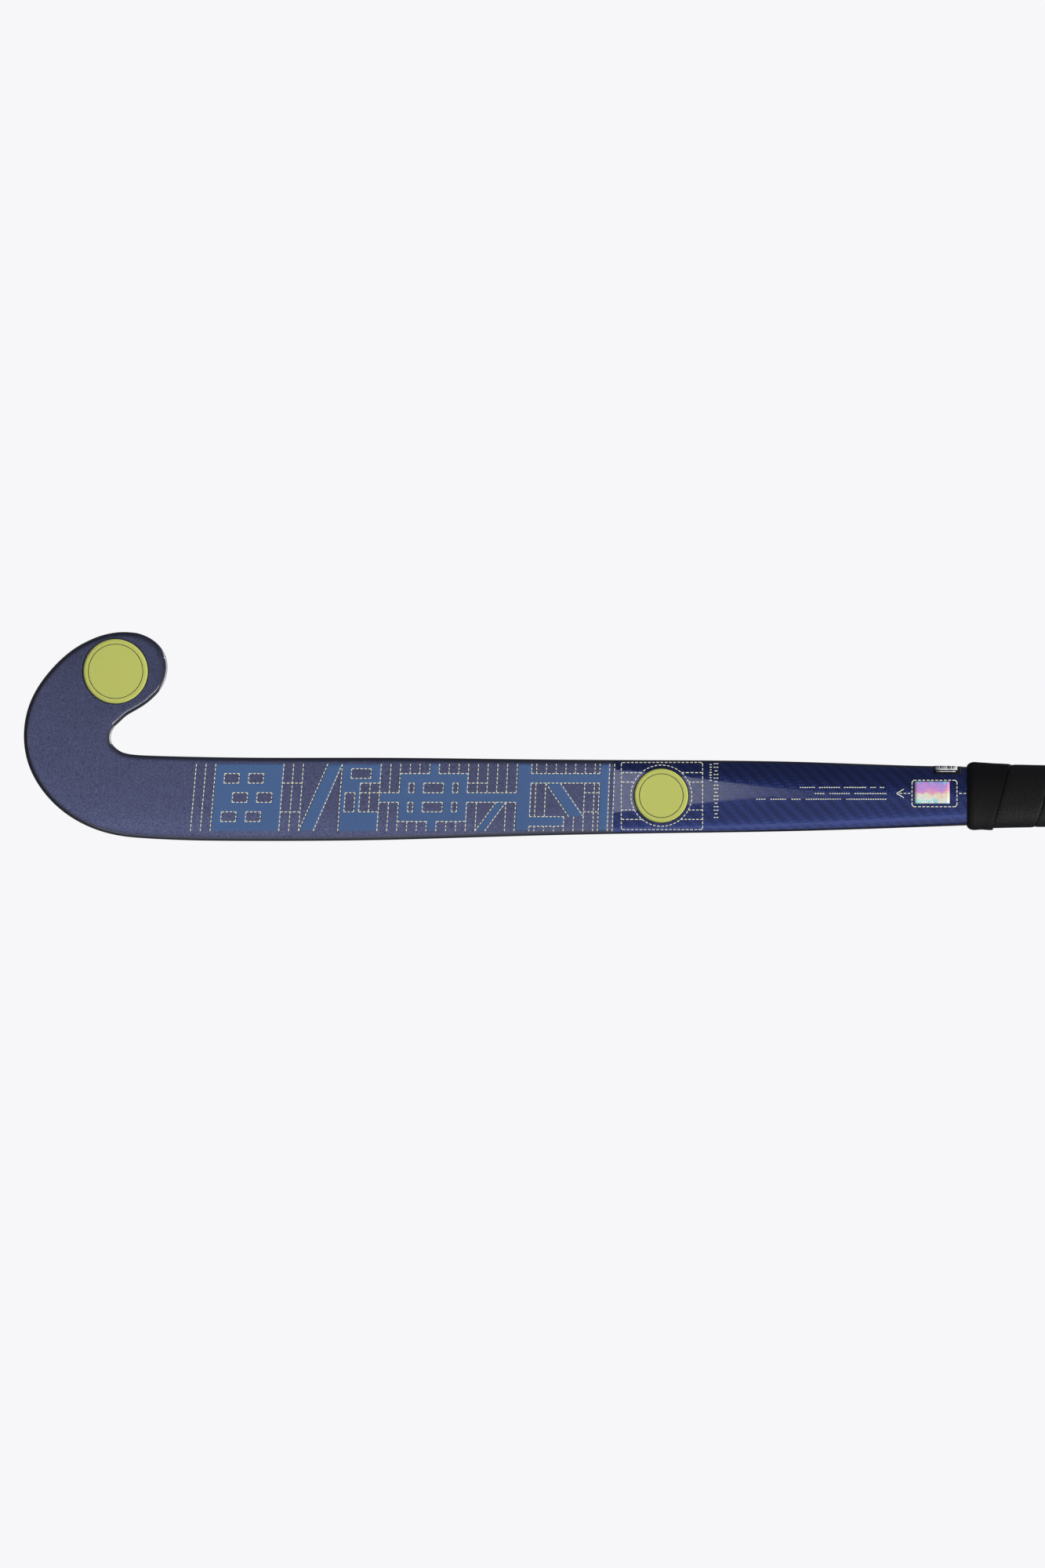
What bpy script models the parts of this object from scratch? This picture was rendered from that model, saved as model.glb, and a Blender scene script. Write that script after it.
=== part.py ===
"""Field hockey stick: a hollow laminate shell with its inner tubes, head core, grip and transfers.

The stick stands upright: +Z runs up the handle to the butt, -Y is the flat playing side, -X is the
side that the toe curls towards, and +X is the heel side. The origin is on the handle's axis, in the
middle of the hand grip. Tables and sizes are in millimetres, and heights are above the head's lowest
point; `to_world` turns both into metres in the stick's own frame.
"""

import math

import bmesh
import bpy
import numpy as np

# Overall sizes
TOTAL_LENGTH = 927.0
GRIP_CENTRE = 734.0  # height of the origin
SHELL_TOP = 921.0
GAP = 0.3  # clearance between touching pieces

# Bow: the playing side is hollow along its length, straight below BOW_LOW and above BOW_HIGH
BOW_SLOPE = 0.18
BOW_LOW, BOW_HIGH = 88.0, 280.0

# Body of the stick, from butt to toe. Each station is a chord across the flat side:
# outer edge (x, z), inner edge (x, z), thickness, outer and inner edge rounding, edge height
STATIONS = [
    ((15.2, 921.0), (-15.2, 921.0), 25.0, 14.8, 14.8, 11.5),
    ((15.2, 760.0), (-15.2, 760.0), 25.0, 14.8, 14.8, 11.5),
    ((15.2, 640.0), (-15.2, 640.0), 25.0, 14.8, 14.8, 11.5),
    ((15.7, 585.0), (-15.6, 585.0), 24.7, 15.3, 15.2, 11.4),
    ((16.9, 541.0), (-16.8, 541.0), 24.2, 16.6, 16.2, 11.0),
    ((17.9, 513.0), (-17.4, 513.0), 23.7, 18.2, 16.2, 10.4),
    ((20.1, 446.0), (-19.6, 446.0), 22.8, 21.4, 16.6, 9.0),
    ((21.4, 365.0), (-20.6, 365.0), 22.0, 15.4, 8.0, 6.8),
    ((23.0, 284.0), (-21.2, 284.0), 21.3, 8.4, 3.6, 5.2),
    ((25.3, 203.0), (-22.0, 203.0), 20.8, 4.2, 2.9, 4.3),
    ((25.8, 125.0), (-22.1, 125.0), 20.6, 2.8, 2.6, 4.0),
    ((24.3, 69.8), (-23.2, 72.5), 20.5, 2.6, 2.6, 4.0),
    ((19.6, 42.3), (-24.8, 57.3), 20.5, 2.6, 2.6, 4.0),
    ((7.0, 20.1), (-28.1, 52.0), 20.5, 2.6, 2.6, 4.0),
    ((-17.0, 3.0), (-31.5, 49.9), 20.5, 2.6, 3.0, 4.0),
    ((-42.7, 0.6), (-36.2, 50.1), 20.4, 2.6, 3.8, 4.0),
    ((-66.2, 10.5), (-40.2, 52.2), 20.2, 2.6, 4.4, 4.0),
    ((-80.8, 23.9), (-40.8, 52.9), 20.0, 2.6, 4.6, 4.0),
    ((-92.0, 43.5), (-47.1, 59.6), 19.6, 2.8, 4.2, 4.0),
]
STEPS = (1, 1, 2, 2, 2, 2, 2, 2, 3, 3, 3, 3, 4, 4, 4, 4, 4, 4)  # rings from each station to the next
HEAD_START = 11  # the station where the shaft ends and the hook begins
TOE_REACH = 31.4  # length of the half-oval toe end beyond the last station
TOE_ANGLES = (14, 28, 41, 53, 63, 71, 78, 84)
CORNER_ANGLES = (0, 22, 45, 68, 90)
DOME_STEPS = 12
HALF_STEPS = 6
FINE_CORNER = 24
DOME_POWER = 2.3
REAR = STATIONS[0][2] / 2  # depth of the handle's axis behind the playing side

# Inside of the stick
SHELL_WALL = 2.5
TUBE_WALL = 1.2
TUBE_GAP = 0.6  # from the shell, whose inside is a coarser curve
TUBE_LOW, TUBE_TOP = 98.0, 878.0
CORE_TOP = 96.0
CORE_NECK = 84.0  # height of the ring between the core's top and the hook
PLATE_THICKNESS = 0.8
PLATE_MARGIN = 1.5  # from the hollow's side walls
STRIP_THICKNESS = 1.0
STRIP_MARGIN = 1.5  # from the shell's two walls
STRIP_HEIGHTS = (560.0, 600.0, 640.0, 860.0)
PLUG_LOW, PLUG_TOP = 880.0, 899.0

# Hand grip
GRIP_LOW = 541.0
UNDERWRAP = 0.5
TAPE = 1.1
TAPE_PITCH = 25.0
TAPE_SEAM = 560.5  # height of the first seam on the middle of the playing side
TAPE_SIDES = 24
FINISH_TAPE = 0.5
FINISH_TILT = 4.6  # rise of the finishing tape's edge from the middle to the toe side
GRIP_TOP = SHELL_TOP

# Transfers and stickers
FILM = 0.15
TOE_BADGE = (-71.5, 52.5, 18.5)  # x, z, radius
SHAFT_BADGE = (-0.2, 365.5, 15.5)
PATTERN = (97.0, 338.0, -18.5, 20.2)  # low and high z, toe-side and heel-side x
PANEL = (342.5, 389.2, -19.2, 19.2)
SPEC_LINES = (393.0, 495.0, -7.0, 6.0)
GUIDE_FRAME = (500.6, 540.4, -9.2, 6.3)
HOLOGRAM = (510.8, 531.3, -8.5, 4.3)
LABEL = (521.6, 538.2, -34.0, -12.7)  # follows the toe-side edge round to the back


def to_world(x, y, z):
    """Metres in the stick's frame, from millimetres with z above the head's lowest point."""
    return np.stack([x, y, z - GRIP_CENTRE], axis=-1) * 0.001


def bow(z):
    """Forward lean of the playing side: level, then a circular bend, then a straight slope."""
    bend = np.clip(BOW_HIGH - z, 0.0, BOW_HIGH - BOW_LOW)
    return -BOW_SLOPE * (bend**2 / (2 * (BOW_HIGH - BOW_LOW)) + np.clip(BOW_LOW - z, 0.0, None))


def natural_spline(knots, values, wanted):
    """Cubic spline through rows of values, with no bending at its two ends."""
    gaps = np.diff(knots)
    slopes = np.diff(values, axis=0) / gaps[:, None]
    system = np.eye(len(knots))
    right = np.zeros_like(values)
    for i in range(1, len(knots) - 1):
        system[i, i - 1 : i + 2] = gaps[i - 1], 2 * (gaps[i - 1] + gaps[i]), gaps[i]
        right[i] = 6 * (slopes[i] - slopes[i - 1])
    bends = np.linalg.solve(system, right)
    k = np.clip(np.searchsorted(knots, wanted, side="right") - 1, 0, len(gaps) - 1)
    h, a = gaps[k][:, None], (wanted - knots[k])[:, None]
    b = h - a
    low, high = bends[k], bends[k + 1]
    return (
        (low * b**3 + high * a**3) / (6 * h)
        + (values[k] / h - low * h / 6) * b
        + (values[k + 1] / h - high * h / 6) * a
    )


def station_table():
    """The stations as rows of eight numbers, and each one's distance along the stick's middle."""
    rows = np.array([(*outer, *inner, *rest) for outer, inner, *rest in STATIONS])
    middle = (rows[:, 0:2] + rows[:, 2:4]) / 2
    steps = np.linalg.norm(np.diff(middle, axis=0), axis=1)
    return rows, np.concatenate([[0.0], np.cumsum(steps)])


ROWS, ALONG = station_table()
FINE = natural_spline(ALONG, ROWS, np.linspace(0.0, ALONG[HEAD_START], 400))[::-1]


def chords(first=0):
    """Interpolated stations from `first` to the last, with STEPS rings between neighbours."""
    places = [ALONG[first]]
    for i in range(first, len(STEPS)):
        places.extend(np.linspace(ALONG[i], ALONG[i + 1], STEPS[i] + 1)[1:])
    return natural_spline(ALONG, ROWS, np.array(places))


def chord_at(z):
    """The station row at a height on the shaft or handle, where every chord is level."""
    row = [np.interp(z, (FINE[:, 1] + FINE[:, 3]) / 2, column) for column in FINE.T]
    row[1] = row[3] = z
    return np.array(row)


def edge_fraction(gap, turn, half, reach):
    """Share of the half chord at which the outline is `gap` away, on a toe chord at angle `turn`."""
    sine, cosine = math.sin(turn), math.cos(turn)
    rho = 1 - gap / half
    for _ in range(8):
        side = np.sqrt(np.clip(rho**2 - sine**2, 0.0, None))
        rho = 1 - gap * np.maximum(rho, 1e-6) / np.hypot(side * half, sine * reach)
    return np.sqrt(np.clip(rho**2 - sine**2, 0.0, None)) / cosine


def section(row, inset=0.0, front=None, turn=0.0, dome_steps=DOME_STEPS, corner=CORNER_ANGLES):
    """One closed ring of the body: flat side, two rounded edges and the domed back.

    `inset` draws the ring that far inside the skin, `front` sets the depth of its flat side, and
    `turn` is the angle of a chord on the half-oval toe end. Returns positions in millimetres.
    """
    outer, inner = row[0:2], row[2:4]
    thickness, outer_round, inner_round, edge = row[4:8]
    centre, across = (outer + inner) / 2, (outer - inner) / 2
    full = np.linalg.norm(across)
    across = across / full
    onward = np.array([across[1], -across[0]])
    half, reach = full - inset, TOE_REACH - inset
    front = inset if front is None else front
    edge = max(edge, front + 0.6)
    crown = thickness - inset
    sine, cosine = math.sin(turn), math.cos(turn)

    angles = np.radians(corner)
    flat_part = []
    for sign, rounding in ((-1, inner_round), (1, outer_round)):
        rounding = rounding + ((inner_round + outer_round) / 2 - rounding) * sine
        rounding = max(rounding - inset, 0.5)
        gap = min(rounding, reach * (1 - sine)) * (1 - np.sin(angles))
        depth = edge - (edge - front) * np.sqrt(np.clip(1 - (1 - gap / rounding) ** 2, 0.0, 1.0))
        if turn:
            share = edge_fraction(gap, turn, half, reach)
        else:
            share = 1 - gap / half
        points = np.stack([sign * share * half * cosine, depth], axis=-1)
        flat_part.append(points[::-1] if sign < 0 else points)

    share = np.cos(np.linspace(0.0, math.pi, dome_steps + 1)[1:-1])
    rho = np.sqrt((share * cosine) ** 2 + sine**2)
    radius = np.hypot(share * half * cosine, sine * reach)
    gap = radius * (1 / np.maximum(rho, 1e-6) - 1) if turn else half * (1 - np.abs(share))
    rise = (1 - np.clip(1 - gap / half, 0.0, 1.0) ** DOME_POWER) ** 0.5
    dome = np.stack([share * half * cosine, edge + (crown - edge) * rise], axis=-1)

    ring = np.concatenate([*flat_part, dome])
    place = centre + ring[:, :1] * across + sine * reach * onward
    return place[:, 0], ring[:, 1], place[:, 1]


def world_ring(x, depth, z):
    """Bowed world positions of a ring given by x, depth behind the playing side, and z."""
    return to_world(x, depth - REAR + bow(z), z)


def body_rings(rows, **shape):
    """World rings through the given chords and round the toe end, and the tip that closes them."""
    rings = [world_ring(*section(row, **shape)) for row in rows]
    last = rows[-1]
    rings += [world_ring(*section(last, turn=math.radians(a), **shape)) for a in TOE_ANGLES]
    across = (last[0:2] - last[2:4]) / np.linalg.norm(last[0:2] - last[2:4])
    reach = TOE_REACH - shape.get("inset", 0.0)
    tip = (last[0:2] + last[2:4]) / 2 + reach * np.array([across[1], -across[0]])
    depth = max(last[7], (shape.get("front") or shape.get("inset", 0.0)) + 0.6)
    return rings, world_ring(tip[0], depth, tip[1])


def skin_curve(z, count=120):
    """Fine outline of the handle or shaft at a height: points and outward normals, by distance."""
    corner = np.linspace(0, 90, 16)
    x, depth, _ = section(chord_at(z), dome_steps=64, corner=corner)
    points = np.stack([x, depth], axis=-1)
    start = len(corner) - 1  # the flat side's toe-side end
    points = np.roll(points, -start, axis=0)
    middle = np.array([0.0, points[0, 1]])
    loop = np.concatenate([[middle], points[1:], points[:1], [middle]])
    steps = np.linalg.norm(np.diff(loop, axis=0), axis=1)
    distance = np.concatenate([[0.0], np.cumsum(steps)])
    places = np.linspace(0.0, distance[-1], count, endpoint=False)
    curve = np.stack([np.interp(places, distance, loop[:, i]) for i in range(2)], axis=-1)
    tangent = np.roll(curve, -1, axis=0) - np.roll(curve, 1, axis=0)
    tangent /= np.linalg.norm(tangent, axis=1)[:, None]
    normal = np.stack([tangent[:, 1], -tangent[:, 0]], axis=-1)
    return curve, normal, distance[-1]


def skin_point(z, share, lift):
    """Point `lift` above the skin at a share of the way round, from the middle of the flat side."""
    curve, normal, _ = skin_curve(z)
    place = (share % 1.0) * len(curve)
    low, mix = int(place) % len(curve), place % 1.0
    high = (low + 1) % len(curve)
    point = curve[low] * (1 - mix) + curve[high] * mix
    outward = normal[low] * (1 - mix) + normal[high] * mix
    return point + lift * outward / np.linalg.norm(outward)


def skin_ring(z, lift, count=TAPE_SIDES, tilt=0.0):
    """World ring `lift` above the handle's skin; `tilt` raises its toe side."""
    points = np.array([skin_point(z, i / count, lift) for i in range(count)])
    heights = z - tilt * points[:, 0] / STATIONS[0][0][0]
    return world_ring(points[:, 0], points[:, 1], heights)


# Meshes


def finish(name, mesh, material, smooth=True):
    """Link a mesh as the named sub-part with its own material."""
    obj = bpy.data.objects.new(name, mesh)
    STICK.objects.link(obj)
    mesh.materials.append(make_material(name, *material))
    if smooth:
        mesh.shade_smooth()
        mesh.set_sharp_from_angle(angle=math.radians(32))
    return obj


def make_material(name, colour, roughness, metallic=0.0):
    material = bpy.data.materials.new(name)
    material.use_nodes = True
    shader = material.node_tree.nodes["Principled BSDF"]
    shader.inputs["Base Color"].default_value = (*colour, 1.0)
    shader.inputs["Roughness"].default_value = roughness
    shader.inputs["Metallic"].default_value = metallic
    material.diffuse_color = (*colour, 1.0)
    return material


def loft(name, rings, material, cyclic=False, tip=None, root=None):
    """Closed skin through rings of equal length.

    A cyclic loft joins the last ring to the first. Otherwise each end is a tip vertex if one is
    given, and a flat cap if not.
    """
    bm = bmesh.new()
    rows = [[bm.verts.new(p) for p in ring] for ring in rings]
    count = len(rows[0])
    pairs = list(zip(rows[:-1], rows[1:]))
    if cyclic:
        pairs.append((rows[-1], rows[0]))
    for a, b in pairs:
        for i in range(count):
            j = (i + 1) % count
            bm.faces.new((a[i], a[j], b[j], b[i]))
    if not cyclic:
        for row, point in ((rows[0], root), (rows[-1], tip)):
            if point is None:
                bm.faces.new(row)
                continue
            pole = bm.verts.new(point)
            for i in range(count):
                bm.faces.new((row[i], row[(i + 1) % count], pole))
    bmesh.ops.recalc_face_normals(bm, faces=bm.faces)
    if bm.calc_volume(signed=True) < 0:
        bmesh.ops.reverse_faces(bm, faces=bm.faces)
    mesh = bpy.data.meshes.new(name)
    bm.to_mesh(mesh)
    bm.free()
    return finish(name, mesh, material)


def film(name, place, columns, rows, material):
    """Thin sheet with Solidify: a flat grid whose corners (0..1, 0..1) `place` lays on the skin."""
    bm = bmesh.new()
    bmesh.ops.create_grid(bm, x_segments=columns, y_segments=rows, size=0.5)
    for vert in bm.verts:
        vert.co = place(vert.co.x + 0.5, vert.co.y + 0.5)
    mesh = bpy.data.meshes.new(name)
    bm.to_mesh(mesh)
    bm.free()
    obj = finish(name, mesh, material, smooth=False)
    solidify = obj.modifiers.new("film thickness", "SOLIDIFY")
    solidify.thickness = FILM * 0.001
    solidify.offset = 1.0
    return obj


# Sub-parts


def laminate_shell():
    """Moulded outer laminate, hollow from the butt to inside the toe."""
    rows = chords()
    outside, tip = body_rings(rows)
    inside, inner_tip = body_rings(rows, inset=SHELL_WALL)
    loft(
        "laminate_shell",
        outside[::-1] + inside,
        ((0.045, 0.05, 0.13), 0.4),
        root=tip,
        tip=inner_tip,
    )


def head_core():
    """Foam that fills the hook below the tubes, behind the impact plate."""
    rows = chords(HEAD_START)
    rows = np.concatenate([[chord_at(CORE_TOP), chord_at(CORE_NECK)], rows])
    front = SHELL_WALL + 2 * GAP + PLATE_THICKNESS
    rings, tip = body_rings(rows, inset=SHELL_WALL + GAP, front=front)
    loft("head_foam_core", rings, ((0.75, 0.68, 0.5), 0.9), tip=tip)


def impact_plate():
    """Flat aramid plate between the shell's playing wall and the foam."""
    depths = SHELL_WALL + GAP, SHELL_WALL + GAP + PLATE_THICKNESS
    margin = SHELL_WALL + GAP + PLATE_MARGIN

    def ring(row, turn=0.0):
        outer, inner = row[0:2], row[2:4]
        half = np.linalg.norm(outer - inner) / 2
        across = (outer - inner) / (2 * half)
        ahead = np.array([across[1], -across[0]]) * (TOE_REACH - margin) * math.sin(turn)
        reach = (half - margin) * math.cos(turn) * across
        middle = (outer + inner) / 2 + ahead
        sides = np.array([middle - reach, middle + reach, middle + reach, middle - reach])
        depth = np.repeat(depths, 2)
        return world_ring(sides[:, 0], depth, sides[:, 1])

    rows = np.concatenate([[chord_at(CORE_TOP), chord_at(CORE_NECK)], chords(HEAD_START)])
    rings = [ring(row) for row in rows] + [ring(rows[-1], math.radians(a)) for a in TOE_ANGLES]
    loft("aramid_impact_plate", rings, ((0.72, 0.6, 0.2), 0.7))


def half_ring(row, side, inset, web):
    """Ring of one side of the hollow: half the flat side, half the dome, and a flat web."""
    corner = np.linspace(0, 90, FINE_CORNER)
    x, depth, _ = section(row, inset=inset, dome_steps=64, corner=corner)
    centre = (row[0] + row[2]) / 2
    across = (x - centre) * side
    turn = np.linspace(0.0, math.pi / 2, HALF_STEPS + 1)
    fronts = slice(0, 2 * FINE_CORNER)
    backs = slice(2 * FINE_CORNER, None)
    ring_across, ring_depth = [], []
    for part, angle in ((fronts, turn), (backs, turn[::-1][1:])):
        kept = across[part] > -web
        order = np.argsort(across[part][kept])
        known, height = across[part][kept][order], depth[part][kept][order]
        places = web + (across.max() - web) * np.sin(angle)
        ring_across.append(places)
        ring_depth.append(np.interp(places, known, height))
    ring_across, ring_depth = np.concatenate(ring_across), np.concatenate(ring_depth)
    return world_ring(centre + side * ring_across, ring_depth, np.full(len(ring_depth), row[1]))


def inner_tubes():
    """Two carbon tubes side by side; their facing walls make the rib down the stick's middle."""
    heights = (TUBE_LOW, 125, 155, 185, 215, 245, 275, 320, 365, 446, 513, 541, 585, 640, TUBE_TOP)
    web = STRIP_THICKNESS / 2 + GAP
    inset = SHELL_WALL + TUBE_GAP
    for name, side in (("toe_side_tube", -1), ("heel_side_tube", 1)):
        rows = [chord_at(float(z)) for z in heights]
        outside = [half_ring(row, side, inset, web) for row in rows]
        inside = [half_ring(row, side, inset + TUBE_WALL, web + TUBE_WALL) for row in rows]
        loft(name, outside + inside[::-1], ((0.03, 0.03, 0.035), 0.45), cyclic=True)


def damping_strip():
    """Soft strip between the two tubes inside the handle, which takes the sting out of hits."""
    rings = []
    for z in STRIP_HEIGHTS:
        row = chord_at(z)
        low, high = SHELL_WALL + STRIP_MARGIN, row[4] - SHELL_WALL - STRIP_MARGIN
        middle, reach = (row[0] + row[2]) / 2, STRIP_THICKNESS / 2
        x = middle + np.array([-reach, reach, reach, -reach])
        rings.append(world_ring(x, np.array([low, low, high, high]), np.full(4, z)))
    loft("damping_strip", rings, ((0.35, 0.05, 0.05), 0.8))


def handle_plug():
    """Foam plug that closes the two tubes at the butt."""
    rows = [chord_at(PLUG_LOW), chord_at(PLUG_TOP)]
    rings = [world_ring(*section(row, inset=SHELL_WALL + GAP)) for row in rows]
    loft("handle_foam_plug", rings, ((0.8, 0.78, 0.7), 0.9))


def butt_cap():
    """Rubber cap: a stem inside the shell and a flange with a rounded rim over the grip's end."""
    stem, flange = -(SHELL_WALL + GAP), 2 * GAP + UNDERWRAP + TAPE
    low, high = SHELL_TOP + GAP, TOTAL_LENGTH
    profile = [
        (PLUG_TOP + GAP, stem),
        (low, stem),
        (low, flange),
        (high - 1.6, flange),
        (high - 0.5, flange - 0.6),
        (high, flange - 1.8),
    ]
    rings = []
    for z, lift in profile:
        x, depth, _ = section(ROWS[0], inset=-lift)
        rings.append(world_ring(x, depth, np.full(len(x), z)))
    loft("butt_cap", rings, ((0.015, 0.015, 0.016), 0.65))


def grip_underwrap():
    """Thin cushion sleeve bonded round the handle under the tape."""
    heights = (GRIP_LOW + 1.0, 560.0, 585.0, 610.0, 640.0, 780.0, GRIP_TOP)
    outside = [skin_ring(z, GAP + UNDERWRAP) for z in heights]
    inside = [skin_ring(z, GAP) for z in heights]
    loft("grip_underwrap", outside + inside[::-1], ((0.3, 0.3, 0.32), 0.9), cyclic=True)


def grip_tape():
    """Polyurethane tape wound up the handle edge to edge, with tapered first and last turns."""
    low, high = 2 * GAP + UNDERWRAP, 2 * GAP + UNDERWRAP + TAPE
    first = (GRIP_LOW + 3.0 - TAPE_SEAM) / TAPE_PITCH
    last = (GRIP_TOP - 2.0 - TAPE_SEAM) / TAPE_PITCH + 1.0
    rings = []
    for turn in np.arange(first, last, 1.0 / TAPE_SIDES):
        seam = TAPE_SEAM + TAPE_PITCH * turn
        top = min(seam, GRIP_TOP)
        bottom = max(seam - TAPE_PITCH + GAP, GRIP_LOW + 0.5)
        corners = [(bottom, low), (top, low), (top, high), (bottom, high)]
        points = [(*skin_point(z, -turn, lift), z) for z, lift in corners]
        x, depth, z = np.array(points).T
        rings.append(world_ring(x, depth, z))
    loft("grip_tape", rings, ((0.012, 0.012, 0.012), 0.7))


def finishing_tape():
    """Stretch tape over the grip's lower end; its upper edge follows the wrap's slope."""
    low = 3 * GAP + UNDERWRAP + TAPE
    high = low + FINISH_TAPE
    rings = []
    for lift in (high, low):
        pair = [skin_ring(GRIP_LOW, lift), skin_ring(TAPE_SEAM, lift, tilt=FINISH_TILT)]
        rings += pair if lift == high else pair[::-1]
    loft("finishing_tape", rings, ((0.012, 0.012, 0.012), 0.6), cyclic=True)


def skin_film(name, box, lift, columns, rows, material):
    """Rectangular film on the shaft, given by its heights and its distances round the skin."""
    low, high, left, right = box

    def place(a, b):
        z = low + (high - low) * b
        _, _, length = skin_curve(z)
        point = skin_point(z, (left + (right - left) * a) / length, lift)
        return world_ring(point[0], point[1], z)

    return film(name, place, columns, rows, material)


def disc_film(name, badge, lift, material):
    """Round badge: a grid pressed into a disc and laid on the playing side."""
    x0, z0, radius = badge

    def place(a, b):
        a, b = 2 * a - 1, 2 * b - 1
        x = x0 + radius * a * math.sqrt(1 - b * b / 2)
        z = z0 + radius * b * math.sqrt(1 - a * a / 2)
        if z < BOW_LOW:
            return world_ring(x, -lift, z)
        point = skin_point(z, x / skin_curve(z)[2], lift)
        return world_ring(point[0], point[1], z)

    return film(name, place, 12, 12, material)


def transfers():
    """Printed films under the lacquer, and the two stickers near the grip."""
    low, high = GAP, 2 * GAP + FILM
    lime, ink = (0.45, 0.5, 0.11), (0.05, 0.1, 0.28)
    skin_film("pattern_film", PATTERN, low, 20, 28, (ink, 0.4))
    skin_film("shaft_panel_film", PANEL, low, 20, 6, ((0.55, 0.6, 0.3), 0.3))
    skin_film("spec_line_film", SPEC_LINES, low, 4, 10, ((0.6, 0.6, 0.65), 0.3))
    skin_film("guide_frame_film", GUIDE_FRAME, low, 6, 6, ((0.8, 0.8, 0.8), 0.3))
    skin_film("foil_sticker", HOLOGRAM, high, 6, 4, ((0.7, 0.75, 0.85), 0.2, 0.8))
    skin_film("equipment_label", LABEL, low, 14, 3, ((0.05, 0.05, 0.05), 0.4))
    disc_film("toe_badge", TOE_BADGE, low, (lime, 0.4))
    disc_film("shaft_badge", SHAFT_BADGE, high, (lime, 0.3))


for old in list(bpy.data.objects):
    bpy.data.objects.remove(old, do_unlink=True)
STICK = bpy.data.collections.new("field_hockey_stick")
bpy.context.scene.collection.children.link(STICK)

laminate_shell()
head_core()
impact_plate()
inner_tubes()
damping_strip()
handle_plug()
butt_cap()
grip_underwrap()
grip_tape()
finishing_tape()
transfers()
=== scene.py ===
"""Field hockey stick: finished surfaces, prints, grip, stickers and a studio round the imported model.

Tables and sizes are in millimetres and heights are above the head's lowest point, as the stick is
measured on a bench; `to_world` turns both into metres in the stick's own frame: +Z up the handle,
-Y the flat playing side, -X the toe side, +X the heel side, origin in the middle of the hand grip.
"""

import math

import bpy
import numpy as np
from mathutils import Matrix, Vector


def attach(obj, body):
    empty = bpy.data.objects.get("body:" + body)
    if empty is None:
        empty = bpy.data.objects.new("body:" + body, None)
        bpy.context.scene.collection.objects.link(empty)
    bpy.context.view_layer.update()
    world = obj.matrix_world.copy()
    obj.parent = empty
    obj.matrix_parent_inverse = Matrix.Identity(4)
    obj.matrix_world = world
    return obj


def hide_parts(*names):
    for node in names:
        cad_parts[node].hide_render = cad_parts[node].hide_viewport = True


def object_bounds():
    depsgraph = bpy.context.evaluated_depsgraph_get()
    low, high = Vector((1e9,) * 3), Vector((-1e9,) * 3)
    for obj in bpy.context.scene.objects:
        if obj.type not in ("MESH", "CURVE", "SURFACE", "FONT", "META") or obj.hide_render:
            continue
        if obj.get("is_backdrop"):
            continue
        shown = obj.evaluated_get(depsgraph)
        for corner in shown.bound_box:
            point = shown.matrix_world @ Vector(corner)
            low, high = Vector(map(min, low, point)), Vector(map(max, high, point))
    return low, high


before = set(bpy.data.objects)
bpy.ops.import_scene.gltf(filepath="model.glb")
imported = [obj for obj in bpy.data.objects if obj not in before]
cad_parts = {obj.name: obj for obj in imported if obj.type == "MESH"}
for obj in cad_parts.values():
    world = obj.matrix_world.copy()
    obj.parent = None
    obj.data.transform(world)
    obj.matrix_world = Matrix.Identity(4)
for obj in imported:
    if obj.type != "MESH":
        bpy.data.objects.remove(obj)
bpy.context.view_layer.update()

bl_info = {
    "name": "Field Hockey Stick Finish",
    "version": (1, 0, 0),
    "blender": (4, 5, 0),
    "location": "View3D > Sidebar > Stick",
    "description": "Builds the finished surfaces of a composite field hockey stick",
    "category": "Add Mesh",
}

# Overall sizes
TOTAL_LENGTH = 927.0
GRIP_CENTRE = 734.0  # height of the origin
SHELL_TOP = 921.0

# Bow: the playing side is straight below BOW_LOW and above BOW_HIGH, and hollow between
BOW_SLOPE = 0.18
BOW_LOW, BOW_HIGH = 88.0, 280.0

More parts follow.
